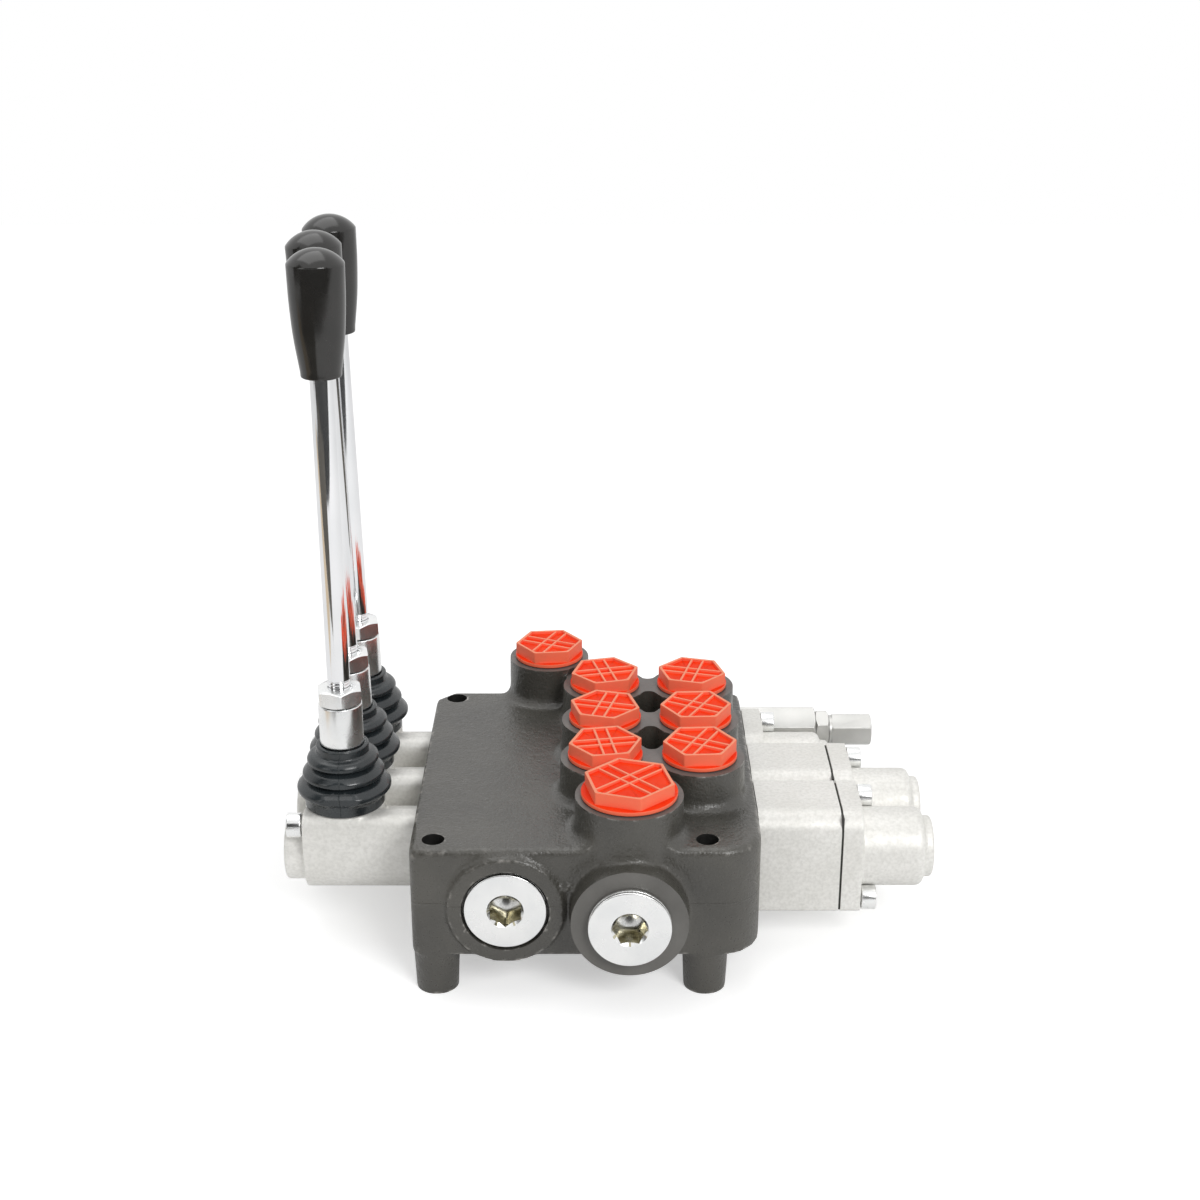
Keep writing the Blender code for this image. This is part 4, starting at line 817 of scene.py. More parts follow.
cut(casting, drum("relief_bore", "X", relief_axis, right - RELIEF_DEEP, right + SUNK, RELIEF_BORE, sides=48))
print("casting machined:", len(casting.data.polygons), "faces")

# %% [markdown]
# The machined faces get their own finish. The walls of the bolt holes are bare iron, which no paint reaches,
# painted nearly black as painted shade inside the deep holes.

# %% Finishing the casting
FLAT = 0.999
NEAR = 0.1 * MM
FACED, BORED = 1, 2

dress(casting, "root", "body_paint", body_paint, faced_paint, shaded_bore_iron, node="valve_body")
for face in casting.data.polygons:
    rim_top = face.normal.z > FLAT and face.center.z > RIM - NEAR
    ring_front = face.normal.y < -FLAT and abs(face.center.y - TANK_FACE) < NEAR
    in_hole = any((face.center.xy - place).length < BOLT_HOLE for place in BOLT_HOLES)
    if rim_top or ring_front:
        face.material_index = FACED
    # The bolt holes' walls get the nearly black finish, as painted shade.
    elif abs(face.normal.z) < 0.01 and in_hole:
        face.material_index = BORED
print("casting finished in", len(casting.data.materials), "ways")

# %% [markdown]
# A transport cap is a hexagon with a round flange below it. Its top is a shallow tray crossed by two pairs of
# ribs, one from corner to corner and one from flat to flat. The head starts as a six-sided drum: its corners
# are bevelled, its top is inset and pushed down, and the ribs are thin blocks laid into the tray. Edges are
# rounded before the pieces are joined, while they are simple.

# %% Transport caps
GAP = 0.3 * MM  # what the working solids keep between pieces that touch
CAP_HEIGHT = 6.8 * MM
CAP_FLANGE = 1.8 * MM
CAP_RIM_WALL = 1.2 * MM
CAP_TRAY = 1.3 * MM
CAP_CORNER = 0.5 * MM
CAP_EDGE = 0.2 * MM
CAP_SPIGOT = 10 * MM
RIB = 1.0 * MM
RIB_GAP = 5 * MM
RIB_DROP = 0.3 * MM
SIDE_SHEEN = 0.45  # how far the sides are painted towards salmon, as painted sheen
SMALL_CAP = (25.8 * MM, 15 * MM, 8.3 * MM)  # across the flats, radius of the flange and of the spigot
LARGE_CAP = (31.3 * MM, 18.75 * MM, 10.5 * MM)
CAP_TURNS = {
    "port_cap_a1": 10,
    "port_cap_a2": 165,
    "port_cap_a3": 14,
    "port_cap_b1": 63,
    "port_cap_b2": 62,
    "port_cap_b3": 165,
    "inlet_port_cap": 66,
    "tank_port_cap": 43,
}


def level_corner(height):
    """A test for edges that lie level at a height and turn a corner there."""

    def test(edge):
        if len(edge.link_faces) != 2 or any(abs(v.co.z - height) >= TINY for v in edge.verts):
            return False
        first, second = edge.link_faces
        return abs(first.normal.z - second.normal.z) > 0.5

    return test


def transport_cap(name, flats, flange, spigot):
    """A cap that stands on z = 0."""
    top = GAP + CAP_HEIGHT
    head = drum(name, "Z", ORIGIN, GAP, top, flats / math.sqrt(3), sides=6)
    rounded(head, runs_along("Z"), CAP_CORNER, 3)
    bpy.ops.object.mode_set(mode="EDIT")
    pick(head, "FACE", lambda face: face.normal.z > 0.9)
    bpy.ops.mesh.inset(thickness=CAP_RIM_WALL)
    bpy.ops.mesh.extrude_region_move(TRANSFORM_OT_translate={"value": (0, 0, -CAP_TRAY)})
    bpy.ops.object.mode_set(mode="OBJECT")
    rounded(head, level_corner(top), CAP_EDGE, 2)
    head.rotation_euler.z = math.radians(30)
    settle(head)
    tray = flats - 2 * CAP_RIM_WALL
    to_corner = (tray - RIB_GAP / 2) / math.sqrt(3) + CAP_RIM_WALL / 2
    to_flat = tray / 2 + CAP_RIM_WALL / 2
    low, high = top - 2 * CAP_TRAY, top - RIB_DROP
    for side in (-RIB_GAP / 2, RIB_GAP / 2):
        near, far = side - RIB / 2, side + RIB / 2
        for start, end in (((-to_corner, near), (to_corner, far)), ((near, -to_flat), (far, to_flat))):
            rib = block("rib", (*start, low), (*end, high))
            cut(head, rounded(rib, level_corner(high), CAP_EDGE, 2), "UNION")
    skirt = [(0, GAP), (flange, GAP), (flange, GAP + CAP_FLANGE), (0, GAP + CAP_FLANGE)]
    cut(head, turned("flange", "Z", ORIGIN, eased(skirt, CAP_CORNER)), "UNION")
    cut(head, drum("spigot", "Z", ORIGIN, -CAP_SPIGOT, GAP + MM, spigot), "UNION")
    # Rim and rib tops are painted full salmon and the sides partly, as painted highlight and sheen.
    ridge = head.data.attributes.new("ridge", "FLOAT", "FACE")
    for face in head.data.polygons:
        raised = face.center.z > top - CAP_TRAY + 0.25 * MM
        if raised and face.normal.z > 0.5:
            ridge.data[face.index].value = 1.0
        elif raised or abs(face.normal.z) < 0.6:
            ridge.data[face.index].value = SIDE_SHEEN
    return head


small_cap = transport_cap("small_cap", *SMALL_CAP)
large_cap = transport_cap("large_cap", *LARGE_CAP)
for node, turn in CAP_TURNS.items():
    master = large_cap if node == "tank_port_cap" else small_cap
    seat = Vector((middle(node).x, middle(node).y, INLET_RIM if node == "inlet_port_cap" else RIM))
    cap = another(master, node + "_moulded", seat, math.radians(turn), "Z")
    dress(cap, "root", "cap_red", cap_red, node=node)
discard(small_cap, large_cap)
print("caps", len(CAP_TURNS))

# %% [markdown]
# The two gallery plugs are turned from zinc-plated bar: a flat face with a small edge, a groove round the
# head, a thread behind it and a hexagon socket with a countersunk mouth. The socket is cut with a six-sided
# tool, a drill leaves its point below it, and the walls keep the yellow tint and are painted darker, as
# painted shade in the socket.

# %% Gallery plugs
PLUG = 15.9 * MM
PLUG_THICK = 3.7 * MM
PLUG_THREAD = 12.7 * MM
PLUG_EDGE = 0.7 * MM
PLUG_GROOVE = 0.5 * MM
GROOVE_START = 1.3 * MM
GROOVE_END = 1.9 * MM
PLUG_LONG = 17 * MM
SOCKET = 12 * MM
SOCKET_DEEP = 11 * MM
SOCKET_MOUTH = 7.15 * MM
DRILL = 5 * MM
DRILL_TIP = 1.5 * MM
DRILL_SLOPE = 0.6
PLUG_TURNS = {"tank_gallery_plug": 30, "inlet_gallery_plug": 0}

neck = PLUG - PLUG_GROOVE
outline = [(0, 0), (PLUG, 0), (PLUG, GROOVE_START), (neck, GROOVE_START), (neck, GROOVE_END)]
outline += [(PLUG, GROOVE_END), (PLUG, PLUG_THICK)]
outline += [(PLUG_THREAD, PLUG_THICK), (PLUG_THREAD, PLUG_LONG), (0, PLUG_LONG)]
plug = turned("plug", "Y", ORIGIN, eased(outline, PLUG_EDGE))
sink = SOCKET_MOUTH - SOCKET / 2
cut(plug, turned("mouth", "Y", ORIGIN, [(0, -MM), (SOCKET_MOUTH + MM, -MM), (SOCKET / 2, sink), (0, sink)]))
cut(plug, drum("hexagon", "Y", ORIGIN, -MM, SOCKET_DEEP, SOCKET / math.sqrt(3), sides=6))
tip = SOCKET_DEEP + (DRILL - DRILL_TIP) * DRILL_SLOPE
point = [(0, SOCKET_DEEP - MM), (DRILL, SOCKET_DEEP - MM), (DRILL, SOCKET_DEEP)]
point += [(DRILL_TIP, tip), (DRILL_TIP, PLUG_LONG - MM), (0, PLUG_LONG - MM)]
cut(plug, turned("drill_point", "Y", ORIGIN, point, 48))
plug.data.materials.clear()
plug.data.materials.append(zinc)
plug.data.materials.append(socket_tint_and_shade)
# The socket walls get the yellow, darker finish: plating tint and painted shade.
for face in plug.data.polygons:
    walls = 0.5 * MM < face.center.y < SOCKET_DEEP - NEAR
    if walls and face.center.xz.length < SOCKET_MOUTH - 0.3 * MM:
        face.material_index = 1
for node, turn in PLUG_TURNS.items():
    seat = (middle(node).x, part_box(node)[0].y, middle(node).z)
    piece = another(plug, node + "_turned", seat, math.radians(turn), "Y")
    dress(piece, "root", "zinc_steel", node=node)
discard(plug)
print("plugs", len(PLUG_TURNS))

# %% [markdown]
# A lever bracket is an aluminium die casting: a round barrel about the spool, a lug along the upper front and
# one along the lower rear for its two long screws, a nose that the spool's end runs in, and a round boss with
# a spigot under the boot. It is melted from lumps as the body is, with a finer grain.

# %% Lever brackets
BRACKET_RIGHT = -77.05 * MM
BRACKET_LEFT = -122.55 * MM
NOSE_LEFT = -131.05 * MM
BRACKET = 16.2 * MM
LUG_INNER = 5 * MM
LOWER_LUG_UNDER = 17.5 * MM
LOWER_LUG_ROUND = 5.3 * MM
UPPER_LUG_TOP = 59 * MM
UPPER_LUG_FRONT_ROUND = 5 * MM
UPPER_LUG_REAR_ROUND = 2 * MM
NOSE = 13.3 * MM
NOSE_EDGE = 1.5 * MM
NOSE_WALL = 6 * MM
BOOT_BOSS = 16 * MM
BOOT_SEAT = 59.2 * MM
SPIGOT = 14 * MM
SPIGOT_TOP = 64.3 * MM
PIVOT = Vector((-106.75 * MM, 0, 58.5 * MM))
PIVOT_SOCKET = 6.8 * MM
SPOOL_Z = 38.5 * MM
SPOOL_AXIS = (0, 0, SPOOL_Z)
ALUMINIUM_GRAIN = 0.6 * MM
ALUMINIUM_SOFTNESS = 3
FACING_HIGH = 0.1


def along_x(height, low_y=-1.0, high_y=1.0):
    """A test for edges along X near a height, between two places across."""

    def test(edge):
        a, b = (v.co for v in edge.verts)
        along = abs(a.x - b.x) > MM and (a - b).yz.length < TINY
        return along and abs(a.z - height) <= MM and low_y <= a.y <= high_y

    return test


def faced_off(piece, low=None, high=None):
    """Cuts the left or the right end of a casting flat."""
    wide = 4 * SUNK
    if low is not None:
        cut(piece, block("facing", (low - SUNK, -wide, 0), (low, wide, FACING_HIGH)))
    if high is not None:
        cut(piece, block("facing", (high, -wide, 0), (high + SUNK, wide, FACING_HIGH)))


end = BRACKET_RIGHT + SPARE
barrel = drum("barrel", "X", SPOOL_AXIS, BRACKET_LEFT, end, BRACKET, sides=160)
upper_lug = block("upper_lug", (BRACKET_LEFT, -BRACKET, SPOOL_Z), (end, -LUG_INNER, UPPER_LUG_TOP))
rounded(upper_lug, along_x(UPPER_LUG_TOP, high_y=-LUG_INNER - MM), UPPER_LUG_FRONT_ROUND)
rounded(upper_lug, along_x(UPPER_LUG_TOP, low_y=-LUG_INNER - MM), UPPER_LUG_REAR_ROUND)
lower_lug = block("lower_lug", (BRACKET_LEFT, LUG_INNER, LOWER_LUG_UNDER), (end, BRACKET, SPOOL_Z))
rounded(lower_lug, along_x(LOWER_LUG_UNDER), LOWER_LUG_ROUND)
nose_line = [(0, NOSE_LEFT), (NOSE, NOSE_LEFT), (NOSE, BRACKET_LEFT + SUNK), (0, BRACKET_LEFT + SUNK)]
nose = turned("nose", "X", SPOOL_AXIS, eased(nose_line, NOSE_EDGE))
boot_seat = drum("boot_seat", "Z", (PIVOT.x, 0, 0), SPOOL_Z, BOOT_SEAT, BOOT_BOSS)
spigot = drum("spigot", "Z", (PIVOT.x, 0, 0), SPOOL_Z, SPIGOT_TOP, SPIGOT)
lumps = [barrel, upper_lug, lower_lug, nose, boot_seat, spigot]
bracket = cast("bracket", lumps, ALUMINIUM_GRAIN, ALUMINIUM_SOFTNESS)
faced_off(bracket, high=BRACKET_RIGHT)
cut(bracket, drum("bore", "X", SPOOL_AXIS, NOSE_LEFT + NOSE_WALL, BRACKET_RIGHT + SUNK, SPOOL_BORE, sides=48))
cut(bracket, drum("socket", "Z", (PIVOT.x, 0, 0), SPOOL_Z, SPIGOT_TOP + SUNK, PIVOT_SOCKET, sides=48))
for number, row in enumerate(ROWS, 1):
    piece = another(bracket, f"bracket_cast_{number}", (0, row, 0))
    dress(piece, "root", "cast_aluminium", aluminium, node=f"lever_bracket_{number}")
discard(bracket)
print("brackets", len(ROWS))

# %% [markdown]
# On the right, the first two spools have a spring box under their end cap, and the third cap sits on the body
# itself. Boxes and caps share one section, with a large round at the upper front. The caps carry a barrel
# over the spring and a small end boss.

# %% Spring boxes and end caps
FLANGE_WIDE = 16.5 * MM
FLANGE_UNDER = 17 * MM
FLANGE_TOP = 60 * MM
FLANGE_ROUND = 9 * MM
FLANGE_EDGE = 1.5 * MM
FLANGE_THICK = 8.4 * MM
BARREL = 16 * MM
BARREL_LONG = 25.8 * MM
BARREL_ROUND = 3.4 * MM
CAP_END = 12.5 * MM
CAP_END_LONG = 3.7 * MM
CAP_END_ROUND = 1.2 * MM
JOINT = 0.3 * MM  # what is taken off a face beside a gasket, so that the joint shows as a dark line
CAVITY = 10.3 * MM
CAVITY_DEEP = 20 * MM
SPOT = 5.3 * MM
CAP_SCREWS = ((12.5 * MM, 54.5 * MM), (-12.5 * MM, 22 * MM))


def flange_block(name, low, high):
    """A slice of the section that boxes and caps share, between two places along X."""
    piece = block(name, (low, -FLANGE_WIDE, FLANGE_UNDER), (high, FLANGE_WIDE, FLANGE_TOP))
    rounded(piece, along_x(FLANGE_TOP, high_y=0), FLANGE_ROUND, 10)
    return rounded(piece, along_x(FLANGE_UNDER), FLANGE_EDGE, 3)


box_low, box_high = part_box("spring_box_1")
section = flange_block("slice", box_low.x - SPARE, box_high.x + SPARE)
spring_box = cast("spring_box", [section], ALUMINIUM_GRAIN, ALUMINIUM_SOFTNESS)
faced_off(spring_box, box_low.x + JOINT, box_high.x - JOINT)
cut(spring_box, drum("bore", "X", SPOOL_AXIS, box_low.x - SUNK, box_high.x + SUNK, CAVITY, sides=64))
for number, row in enumerate(ROWS[:2], 1):
    piece = another(spring_box, f"spring_box_cast_{number}", (0, row, 0))
    dress(piece, "root", "cast_aluminium", aluminium, node=f"spring_box_{number}")
discard(spring_box)

start = FLANGE_THICK / 2
barrel_end = FLANGE_THICK + BARREL_LONG
cap_end = barrel_end + CAP_END_LONG
barrel_line = [(0, start), (BARREL, start), (BARREL, barrel_end), (0, barrel_end)]
barrel = turned("barrel", "X", SPOOL_AXIS, eased(barrel_line, BARREL_ROUND, 8))
end_line = [(0, FLANGE_THICK), (CAP_END, FLANGE_THICK), (CAP_END, cap_end), (0, cap_end)]
end_boss = turned("end_boss", "X", SPOOL_AXIS, eased(end_line, CAP_END_ROUND))
lumps = [flange_block("slice", -SPARE, FLANGE_THICK), barrel, end_boss]
end_cap = cast("end_cap", lumps, ALUMINIUM_GRAIN, ALUMINIUM_SOFTNESS)
faced_off(end_cap, low=JOINT)
cut(end_cap, drum("cavity", "X", SPOOL_AXIS, -SUNK, CAVITY_DEEP, CAVITY, sides=64))
for across, height in CAP_SCREWS:
    cut(end_cap, drum("spot", "X", (0, across, height), FLANGE_THICK, cap_end, SPOT, sides=48))
for number, row in enumerate(ROWS, 1):
    node = f"end_cap_{number}"
    piece = another(end_cap, f"end_cap_cast_{number}", (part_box(node)[0].x, row, 0))
    dress(piece, "root", "cast_aluminium", aluminium, node=node)
discard(end_cap)
print("spring boxes 2, end caps", len(ROWS))

# %% [markdown]
# Thin paper gaskets seal the joints. They show as dark lines, because they stop just short of the castings'
# edges.

# %% Gaskets
GASKET_SHY = 0.7 * MM


def gasket(name, left, right, row):
    sheet = flange_block(name, left + TINY, right - TINY)
    shrink = 1 - GASKET_SHY / FLANGE_WIDE
    sheet.scale = (1, shrink, shrink)
    sheet.location = (0, row, (1 - shrink) * (FLANGE_UNDER + FLANGE_TOP) / 2)
    settle(sheet)
    cut(sheet, drum("hole", "X", (0, row, SPOOL_Z), left - SUNK, left + SUNK, CAVITY, sides=48))
    dress(sheet, "root", "boot_rubber", gasket_paper)


for number, row in enumerate(ROWS, 1):
    gasket(f"body_gasket_{number}", body_high.x, body_high.x + GAP + JOINT, row)
    if number < 3:
        gasket(f"cap_gasket_{number}", box_high.x - JOINT, box_high.x + GAP + JOINT, row)
print("gaskets 5")

# %% [markdown]
# Twelve M6 socket screws hold brackets and caps. A screw is turned to its length with its edges eased, the
# hexagon socket is cut into its head, and it goes to its place, the other way round on the right.

# %% Socket screws
HEAD = 5 * MM
HEAD_HIGH = 6 * MM
HEAD_EDGE = 0.6 * MM
SHANK = 3 * MM
HEX_SOCKET = 5 * MM
HEX_DEEP = 3 * MM


def socket_screw(name, length):
    """A screw along X with its head's face at 0 and its tip at +X."""
    outline = [(0, 0), (HEAD, 0), (HEAD, HEAD_HIGH), (SHANK, HEAD_HIGH), (SHANK, length), (0, length)]
    screw = turned(name, "X", ORIGIN, eased(outline, HEAD_EDGE), 64)
    return cut(screw, drum("hexagon", "X", ORIGIN, -MM, HEX_DEEP, HEX_SOCKET / math.sqrt(3), sides=6))


screw_nodes = sorted(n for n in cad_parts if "_screw_" in n)
for node in screw_nodes:
    low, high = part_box(node)
    screw = socket_screw(node + "_turned", high.x - low.x)
    place = middle(node)
    place.x = low.x
    if node.startswith("cap_"):
        screw.rotation_euler.z = math.pi
        place.x = high.x
    screw.location = place
    dress(settle(screw), "root", "zinc_steel", zinc, node=node)
print("screws", len(screw_nodes))

# %% [markdown]
# The relief valve and the levers' lock nuts are hexagon bars with turned ends: a nut's corners end in a cone,
# which leaves the curved line that everyone knows from a nut. A six-sided drum is cut with a turned cone,
# keeping only what both share.

# %% Relief valve
NUT_SHY = 0.2 * MM
NUT_SLOPE = 0.58
NUT_EDGE = 0.3 * MM
RELIEF_HEX = 19.5 * MM
RELIEF_NUT = 15.5 * MM
RELIEF_CAP = 13.5 * MM
RELIEF_THREAD = 8 * MM
RELIEF_INSIDE = 5 * MM
RELIEF_WALL = 4 * MM
RELIEF_STEM = 4.7 * MM
RELIEF_COLLAR = 1.4 * MM
COLLAR_LAP = 0.5 * MM


def nut(name, axis, centre, flats, low, high, turn, both=True):
    """A hexagon bar along an axis whose end, or both ends, is turned to a cone."""
    corner = flats / math.sqrt(3)
    shy = flats / 2 - NUT_SHY
    rise = (corner - flats / 2 + NUT_SHY) * NUT_SLOPE
    bar = drum(name, axis, ORIGIN, low, high, corner, sides=6)
    rounded(bar, runs_along(axis), NUT_EDGE, 2)
    bar.rotation_euler = AXES[axis] * math.radians(turn)
    settle(bar)
    start = [(0, low), (shy, low), (corner, low + rise)] if both else [(0, low - MM), (corner, low - MM)]
    cone = turned("cone", axis, ORIGIN, [*start, (corner, high - rise), (shy, high), (0, high)])
    cut(bar, cone, "INTERSECT")
    bar.location = centre
    return settle(bar)


low, high = (corner.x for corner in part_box("relief_valve_body"))
relief_body = nut("relief_body_turned", "X", relief_axis, RELIEF_HEX, right + GAP, high, 30, False)
cut(relief_body, drum("thread", "X", relief_axis, low, right + MM, RELIEF_THREAD, sides=48), "UNION")
cut(relief_body, drum("bore", "X", relief_axis, low + RELIEF_WALL, high + SUNK, RELIEF_INSIDE, sides=48))
low, high = (corner.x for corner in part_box("relief_lock_nut"))
relief_nut = nut("relief_nut_turned", "X", relief_axis, RELIEF_NUT, low, high, 22)
cut(relief_nut, drum("bore", "X", relief_axis, low - MM, high + MM, RELIEF_INSIDE, sides=48))
collar = high + GAP
low, high = (corner.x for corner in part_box("relief_cap_nut"))
relief_cap = nut("relief_cap_turned", "X", relief_axis, RELIEF_CAP, collar + RELIEF_COLLAR, high, 30, False)
lap = collar + RELIEF_COLLAR + COLLAR_LAP
outline = [(0, low), (RELIEF_STEM, low), (RELIEF_STEM, collar), (RELIEF_CAP / 2, collar)]
outline += [(RELIEF_CAP / 2, lap), (0, lap)]
cut(relief_cap, turned("stem", "X", relief_axis, outline, 64), "UNION")
dress(relief_body, "root", "zinc_steel", dull_zinc, node="relief_valve_body")
dress(relief_nut, "root", "zinc_steel", dull_zinc, node="relief_lock_nut")
dress(relief_cap, "root", "zinc_steel", dull_zinc, node="relief_cap_nut")
print("relief valve 3 pieces")

# %% [markdown]
# A lever is four pieces on one line: the plated stub with its pivot ball, arm and sleeve, a lock nut, the
# chrome rod, whose thread shows above the nut, and the knob. All heights count from the pivot. The pieces are
# made upright.


# %% Lever stub, nut and rod
def ball(radius, centre, first, last, steps=14):
    """Half outline of a ball between two angles, counted in degrees from its lowest point."""
    points = []
    for step in range(steps + 1):
        angle = math.radians(first + (last - first) * step / steps)
        points.append((radius * math.sin(angle), centre - radius * math.cos(angle)))
    return points


ARM = 20 * MM
ARM_THIN = 2.8 * MM
ARM_BALL = 4.5 * MM
PIVOT_BALL = 6.5 * MM
NECK = 4.5 * MM
NECK_TOP = 11.5 * MM
STUB_SHANK = 8 * MM
SHANK_LOW = 21 * MM
SLEEVE = 8.7 * MM
SLEEVE_LOW = 27.5 * MM
SLEEVE_TOP = 44.5 * MM
SLEEVE_STEP = 0.4 * MM
SLEEVE_EDGE = 0.5 * MM
ROD = 4.5 * MM
ROD_LOW = 30.5 * MM
ROD_TOP = 202 * MM
ROD_EDGE = 0.7 * MM
ROD_BORE = 4.8 * MM
THREAD_PITCH = 1.25 * MM
THREAD_CUT = 0.45 * MM
THREAD_TURNS = 3
NUT_BORE = 4.55 * MM
NUT_FLATS = 16.5 * MM
NUT_HIGH = 6.5 * MM
NUT_TURN = 10.5

leaves = math.degrees(math.asin(ARM_THIN / ARM_BALL))
starts = math.degrees(math.asin(ARM_THIN / PIVOT_BALL))
ends = math.degrees(math.asin(NECK / PIVOT_BALL))
stub_line = ball(ARM_BALL, -ARM, 0, 180 - leaves) + ball(PIVOT_BALL, 0, starts, 180 - ends)
sleeve_line = [
    (NECK, NECK_TOP),
    (STUB_SHANK, SHANK_LOW),
    (STUB_SHANK, SLEEVE_LOW - SLEEVE_STEP),
    (SLEEVE, SLEEVE_LOW),
    (SLEEVE, SLEEVE_TOP),
    (ROD_BORE, SLEEVE_TOP),
    (ROD_BORE, ROD_LOW - GAP),
    (0, ROD_LOW - GAP),
]
stub = turned("stub", "Z", PIVOT, stub_line + eased(sleeve_line, SLEEVE_EDGE))
nut_low = SLEEVE_TOP + GAP
nut_top = SLEEVE_TOP + NUT_HIGH
lock_nut = nut("lock_nut", "Z", PIVOT, NUT_FLATS, nut_low, nut_low + NUT_HIGH, NUT_TURN)
cut(lock_nut, drum("bore", "Z", PIVOT, SLEEVE_TOP - MM, nut_top + 2 * MM, NUT_BORE, sides=48))
rod_line = [(0, ROD_LOW), (ROD, ROD_LOW)]
for turn in range(THREAD_TURNS):
    crest = nut_top + turn * THREAD_PITCH
    rod_line += [(ROD, crest), (ROD - THREAD_CUT, crest + THREAD_PITCH / 2)]
rod_line += [(ROD, nut_top + THREAD_TURNS * THREAD_PITCH), (ROD, ROD_TOP), (0, ROD_TOP)]
rod = turned("rod", "Z", PIVOT, eased(rod_line, ROD_EDGE), 64)
print("stub, nut and rod of", round(ROD_TOP / MM), "mm")

# %% [markdown]
# The knob swells from its neck to a shoulder and ends in a flat dome, which is a part of a large ball. Then
# all four pieces are copied to each row and leaned: the second and third levers stand over to the left by a
# degree or so, as in the photograph.

# %% Knobs and levers
KNOB_LOW = 177 * MM
KNOB_TOP = 224.5 * MM
KNOB_NECK = 7.65 * MM
KNOB_WIDE = 10.7 * MM
KNOB_DOME = 5.5 * MM
KNOB_SIDE = ((7.75 * MM, 2 * MM), (9.6 * MM, 15 * MM), (10.45 * MM, 28 * MM))  # radius, height over neck
KNOB_SWELL = 5 * MM
KNOB_EDGE = 0.5 * MM
LEANS = (0.0, 1.5, 1.2)

bore_end = ROD_TOP + GAP
mouth_line = [(0, bore_end), (ROD_BORE, bore_end), (ROD_BORE, KNOB_LOW), (KNOB_NECK, KNOB_LOW)]
side_line = [(radius, KNOB_LOW + height) for radius, height in KNOB_SIDE]
side_line = [mouth_line[-1], *side_line, (KNOB_WIDE, KNOB_TOP - KNOB_DOME)]
side_line = eased(side_line, KNOB_SWELL, 6)[1:-1]
crown = (KNOB_WIDE**2 + KNOB_DOME**2) / (2 * KNOB_DOME)
rim_angle = math.degrees(math.asin(KNOB_WIDE / crown))
dome_line = ball(crown, KNOB_TOP - crown, 180 - rim_angle, 180, 16)
knob = turned("knob", "Z", PIVOT, eased([*mouth_line, *side_line, *dome_line], KNOB_EDGE, 3))
LEVER_PIECES = (
    (stub, "lever_stub", "zinc_steel", zinc),
    (lock_nut, "lock_nut", "zinc_steel", zinc),
    (rod, "lever_rod", "chrome_rod", chrome),
    (knob, "lever_knob", "black_knob", black_plastic),
)
for number, (row, lean) in enumerate(zip(ROWS, LEANS), 1):
    for master, node, slot, finish in LEVER_PIECES:
        piece = another(master, f"{node}_fine_{number}", (0, row, 0), -math.radians(lean), "Y", PIVOT)
        dress(piece, f"lever_{number}", slot, finish, node=f"{node}_{number}")
discard(stub, lock_nut, rod, knob)
print("levers", len(ROWS))

# %% [markdown]
# A boot is a rubber bellows, moulded in one with a plain skirt that stands on the bracket's boss, three ribs
# that get smaller towards the top and a collar that grips the sleeve. Each rib is a small roof: it slopes
# outwards to a round lip and is undercut below it, so that a dark groove shows. Its half outline is spun as a
# closed wall. The widest ribs press flat on the next boot, and each boot is drawn over with its lever.

# %% Bellows
WALL = 1.5 * MM
SKIRT = 16 * MM
SKIRT_LOW = 59.5 * MM
SKIRT_TOP = 62.5 * MM
RIBS = ((18.85 * MM, 67 * MM), (16.4 * MM, 73 * MM), (14.3 * MM, 79 * MM))
FOLDS = ((13.2 * MM, 71.2 * MM), (11.3 * MM, 77.2 * MM))
CROWN = 0.7 * MM  # how far the roof of a rib stands above a straight line
LIP = 0.8 * MM
COLLAR = 10.5 * MM
COLLAR_LOW = 82 * MM
COLLAR_TOP = 85.6 * MM
ROOM = 17.35 * MM  # half of what a boot may take across the rows
BOOT_EDGE = 0.8 * MM

outer = [(SKIRT, SKIRT_LOW), (SKIRT, SKIRT_TOP + MM)]
for (rib, rib_z), (end, end_z) in zip(RIBS, (*FOLDS, (COLLAR, COLLAR_LOW))):
    roof = ((rib + end) / 2 + CROWN, (rib_z + LIP + end_z) / 2 + CROWN / 2)
    outer += [(rib, rib_z - LIP), (rib, rib_z + LIP), roof, (end, end_z)]
outer.append((COLLAR, COLLAR_TOP))
grip, bore = STUB_SHANK + GAP, SPIGOT + GAP
inner = [(grip, COLLAR_TOP), (grip, COLLAR_LOW), (RIBS[2][0] - WALL, RIBS[2][1])]
for (fold, fold_z), (rib, rib_z) in zip(reversed(FOLDS), reversed(RIBS[:2])):
    inner += [(fold - WALL, fold_z), (rib - WALL, rib_z)]
inner += [(bore, SPIGOT_TOP + GAP), (bore, SKIRT_LOW)]
seam_point = ((bore + SKIRT) / 2, SKIRT_LOW)
boot_line = eased([seam_point, *outer, *inner, seam_point], BOOT_EDGE, 5)

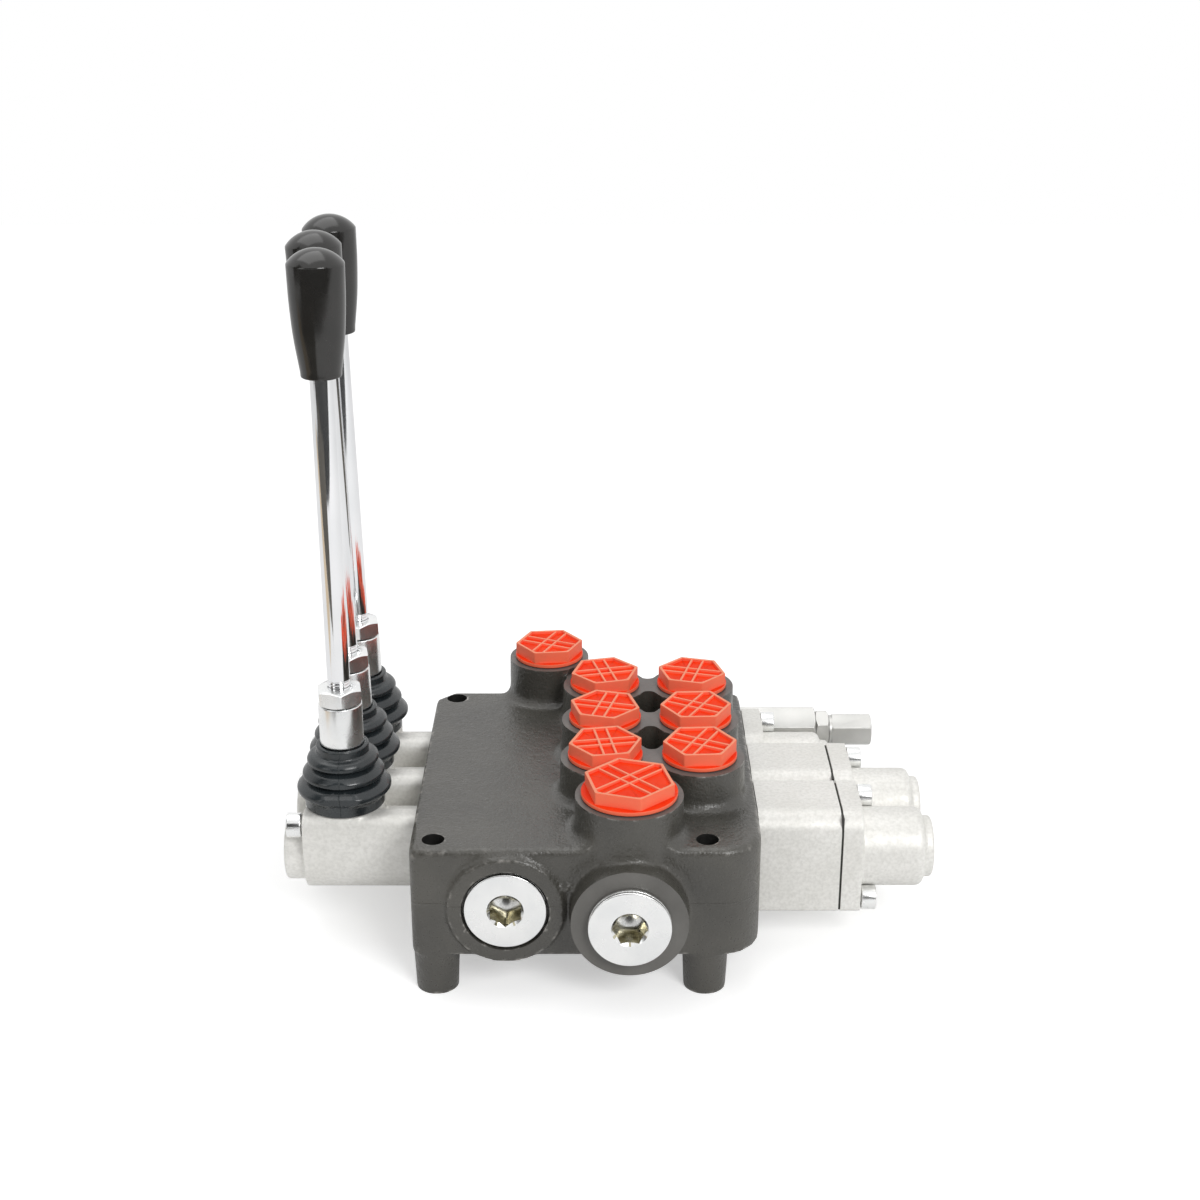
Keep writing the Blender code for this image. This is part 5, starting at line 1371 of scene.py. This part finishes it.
for number, (row, lean) in enumerate(zip(ROWS, LEANS), 1):
    boot = turned(f"boot_{number}", "Z", (PIVOT.x, 0, 0), boot_line, 128)
    for vert in boot.data.vertices:
        away = Vector((vert.co.x - PIVOT.x, vert.co.y)).length
        room = ROOM if away > RIBS[0][0] - WALL / 2 else ROOM - WALL
        vert.co.y = max(-room, min(room, vert.co.y))
        share = max(0, min(1, (vert.co.z - SKIRT_TOP) / (COLLAR_LOW - SKIRT_TOP)))
        vert.co.x -= share * (vert.co.z - PIVOT.z) * math.tan(math.radians(lean))
        vert.co.y += row
    coat_with(boot, "boot_rubber", rubber, smooth=40)
    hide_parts(f"bellows_{number}")
    start = (PIVOT.x, row, SKIRT_TOP)
    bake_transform(boot)
print("boots", len(ROWS))

# %% [markdown]
# Inside the closed castings lie the spools, their bolts and springs, and the relief valve's poppet and spring.
# Nothing shows them at rest. The springs still get a round wire: a circle that is swept along a helix. The
# rest keep their solids with a steel finish.

# %% Springs and hidden steel
CENTERING_SPRING = (7.5 * MM, 3 * MM, 8 * MM)  # radius, wire and turn
RELIEF_SPRING = (3.4 * MM, 1.6 * MM, 5 * MM)


def spring(node, radius, wire, turn):
    """A round wire wound along X between the ends of its solid."""
    low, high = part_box(node)
    long = high.x - low.x - wire
    turns = round(long / turn)
    bpy.ops.object.select_all(action="DESELECT")
    bpy.ops.mesh.primitive_circle_add(
        vertices=12, radius=wire / 2, location=(0, 0, radius), rotation=(math.pi / 2, 0, 0)
    )
    wound = settle(bpy.context.object)
    wound.name = node + "_wound"
    rise = long / turns
    with_modifier(wound, "SCREW", axis="X", screw_offset=rise, iterations=turns, steps=24, render_steps=24)
    bpy.ops.object.mode_set(mode="EDIT")
    bpy.ops.mesh.select_all(action="SELECT")
    bpy.ops.mesh.fill_holes(sides=0)
    bpy.ops.mesh.normals_make_consistent(inside=False)
    bpy.ops.object.mode_set(mode="OBJECT")
    wound.location = (low.x + wire / 2, middle(node).y, middle(node).z)
    return dress(settle(wound), "root", "hard_steel", hard_steel, node=node)


for number, lean in enumerate(LEANS, 1):
    node = f"centering_spring_{number}"
    wound = spring(node, *CENTERING_SPRING)
    low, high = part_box(node)
    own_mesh(wound)
spring("relief_spring", *RELIEF_SPRING)
hidden = sorted(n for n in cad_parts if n.startswith(("spool_", "spring_bolt_")) or n == "relief_poppet")
for node in hidden:
    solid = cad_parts[node]
    solid.data.materials.clear()
    solid.data.materials.append(zinc if node.startswith("spring_bolt") else hard_steel)
print("springs 4, hidden solids", len(hidden))
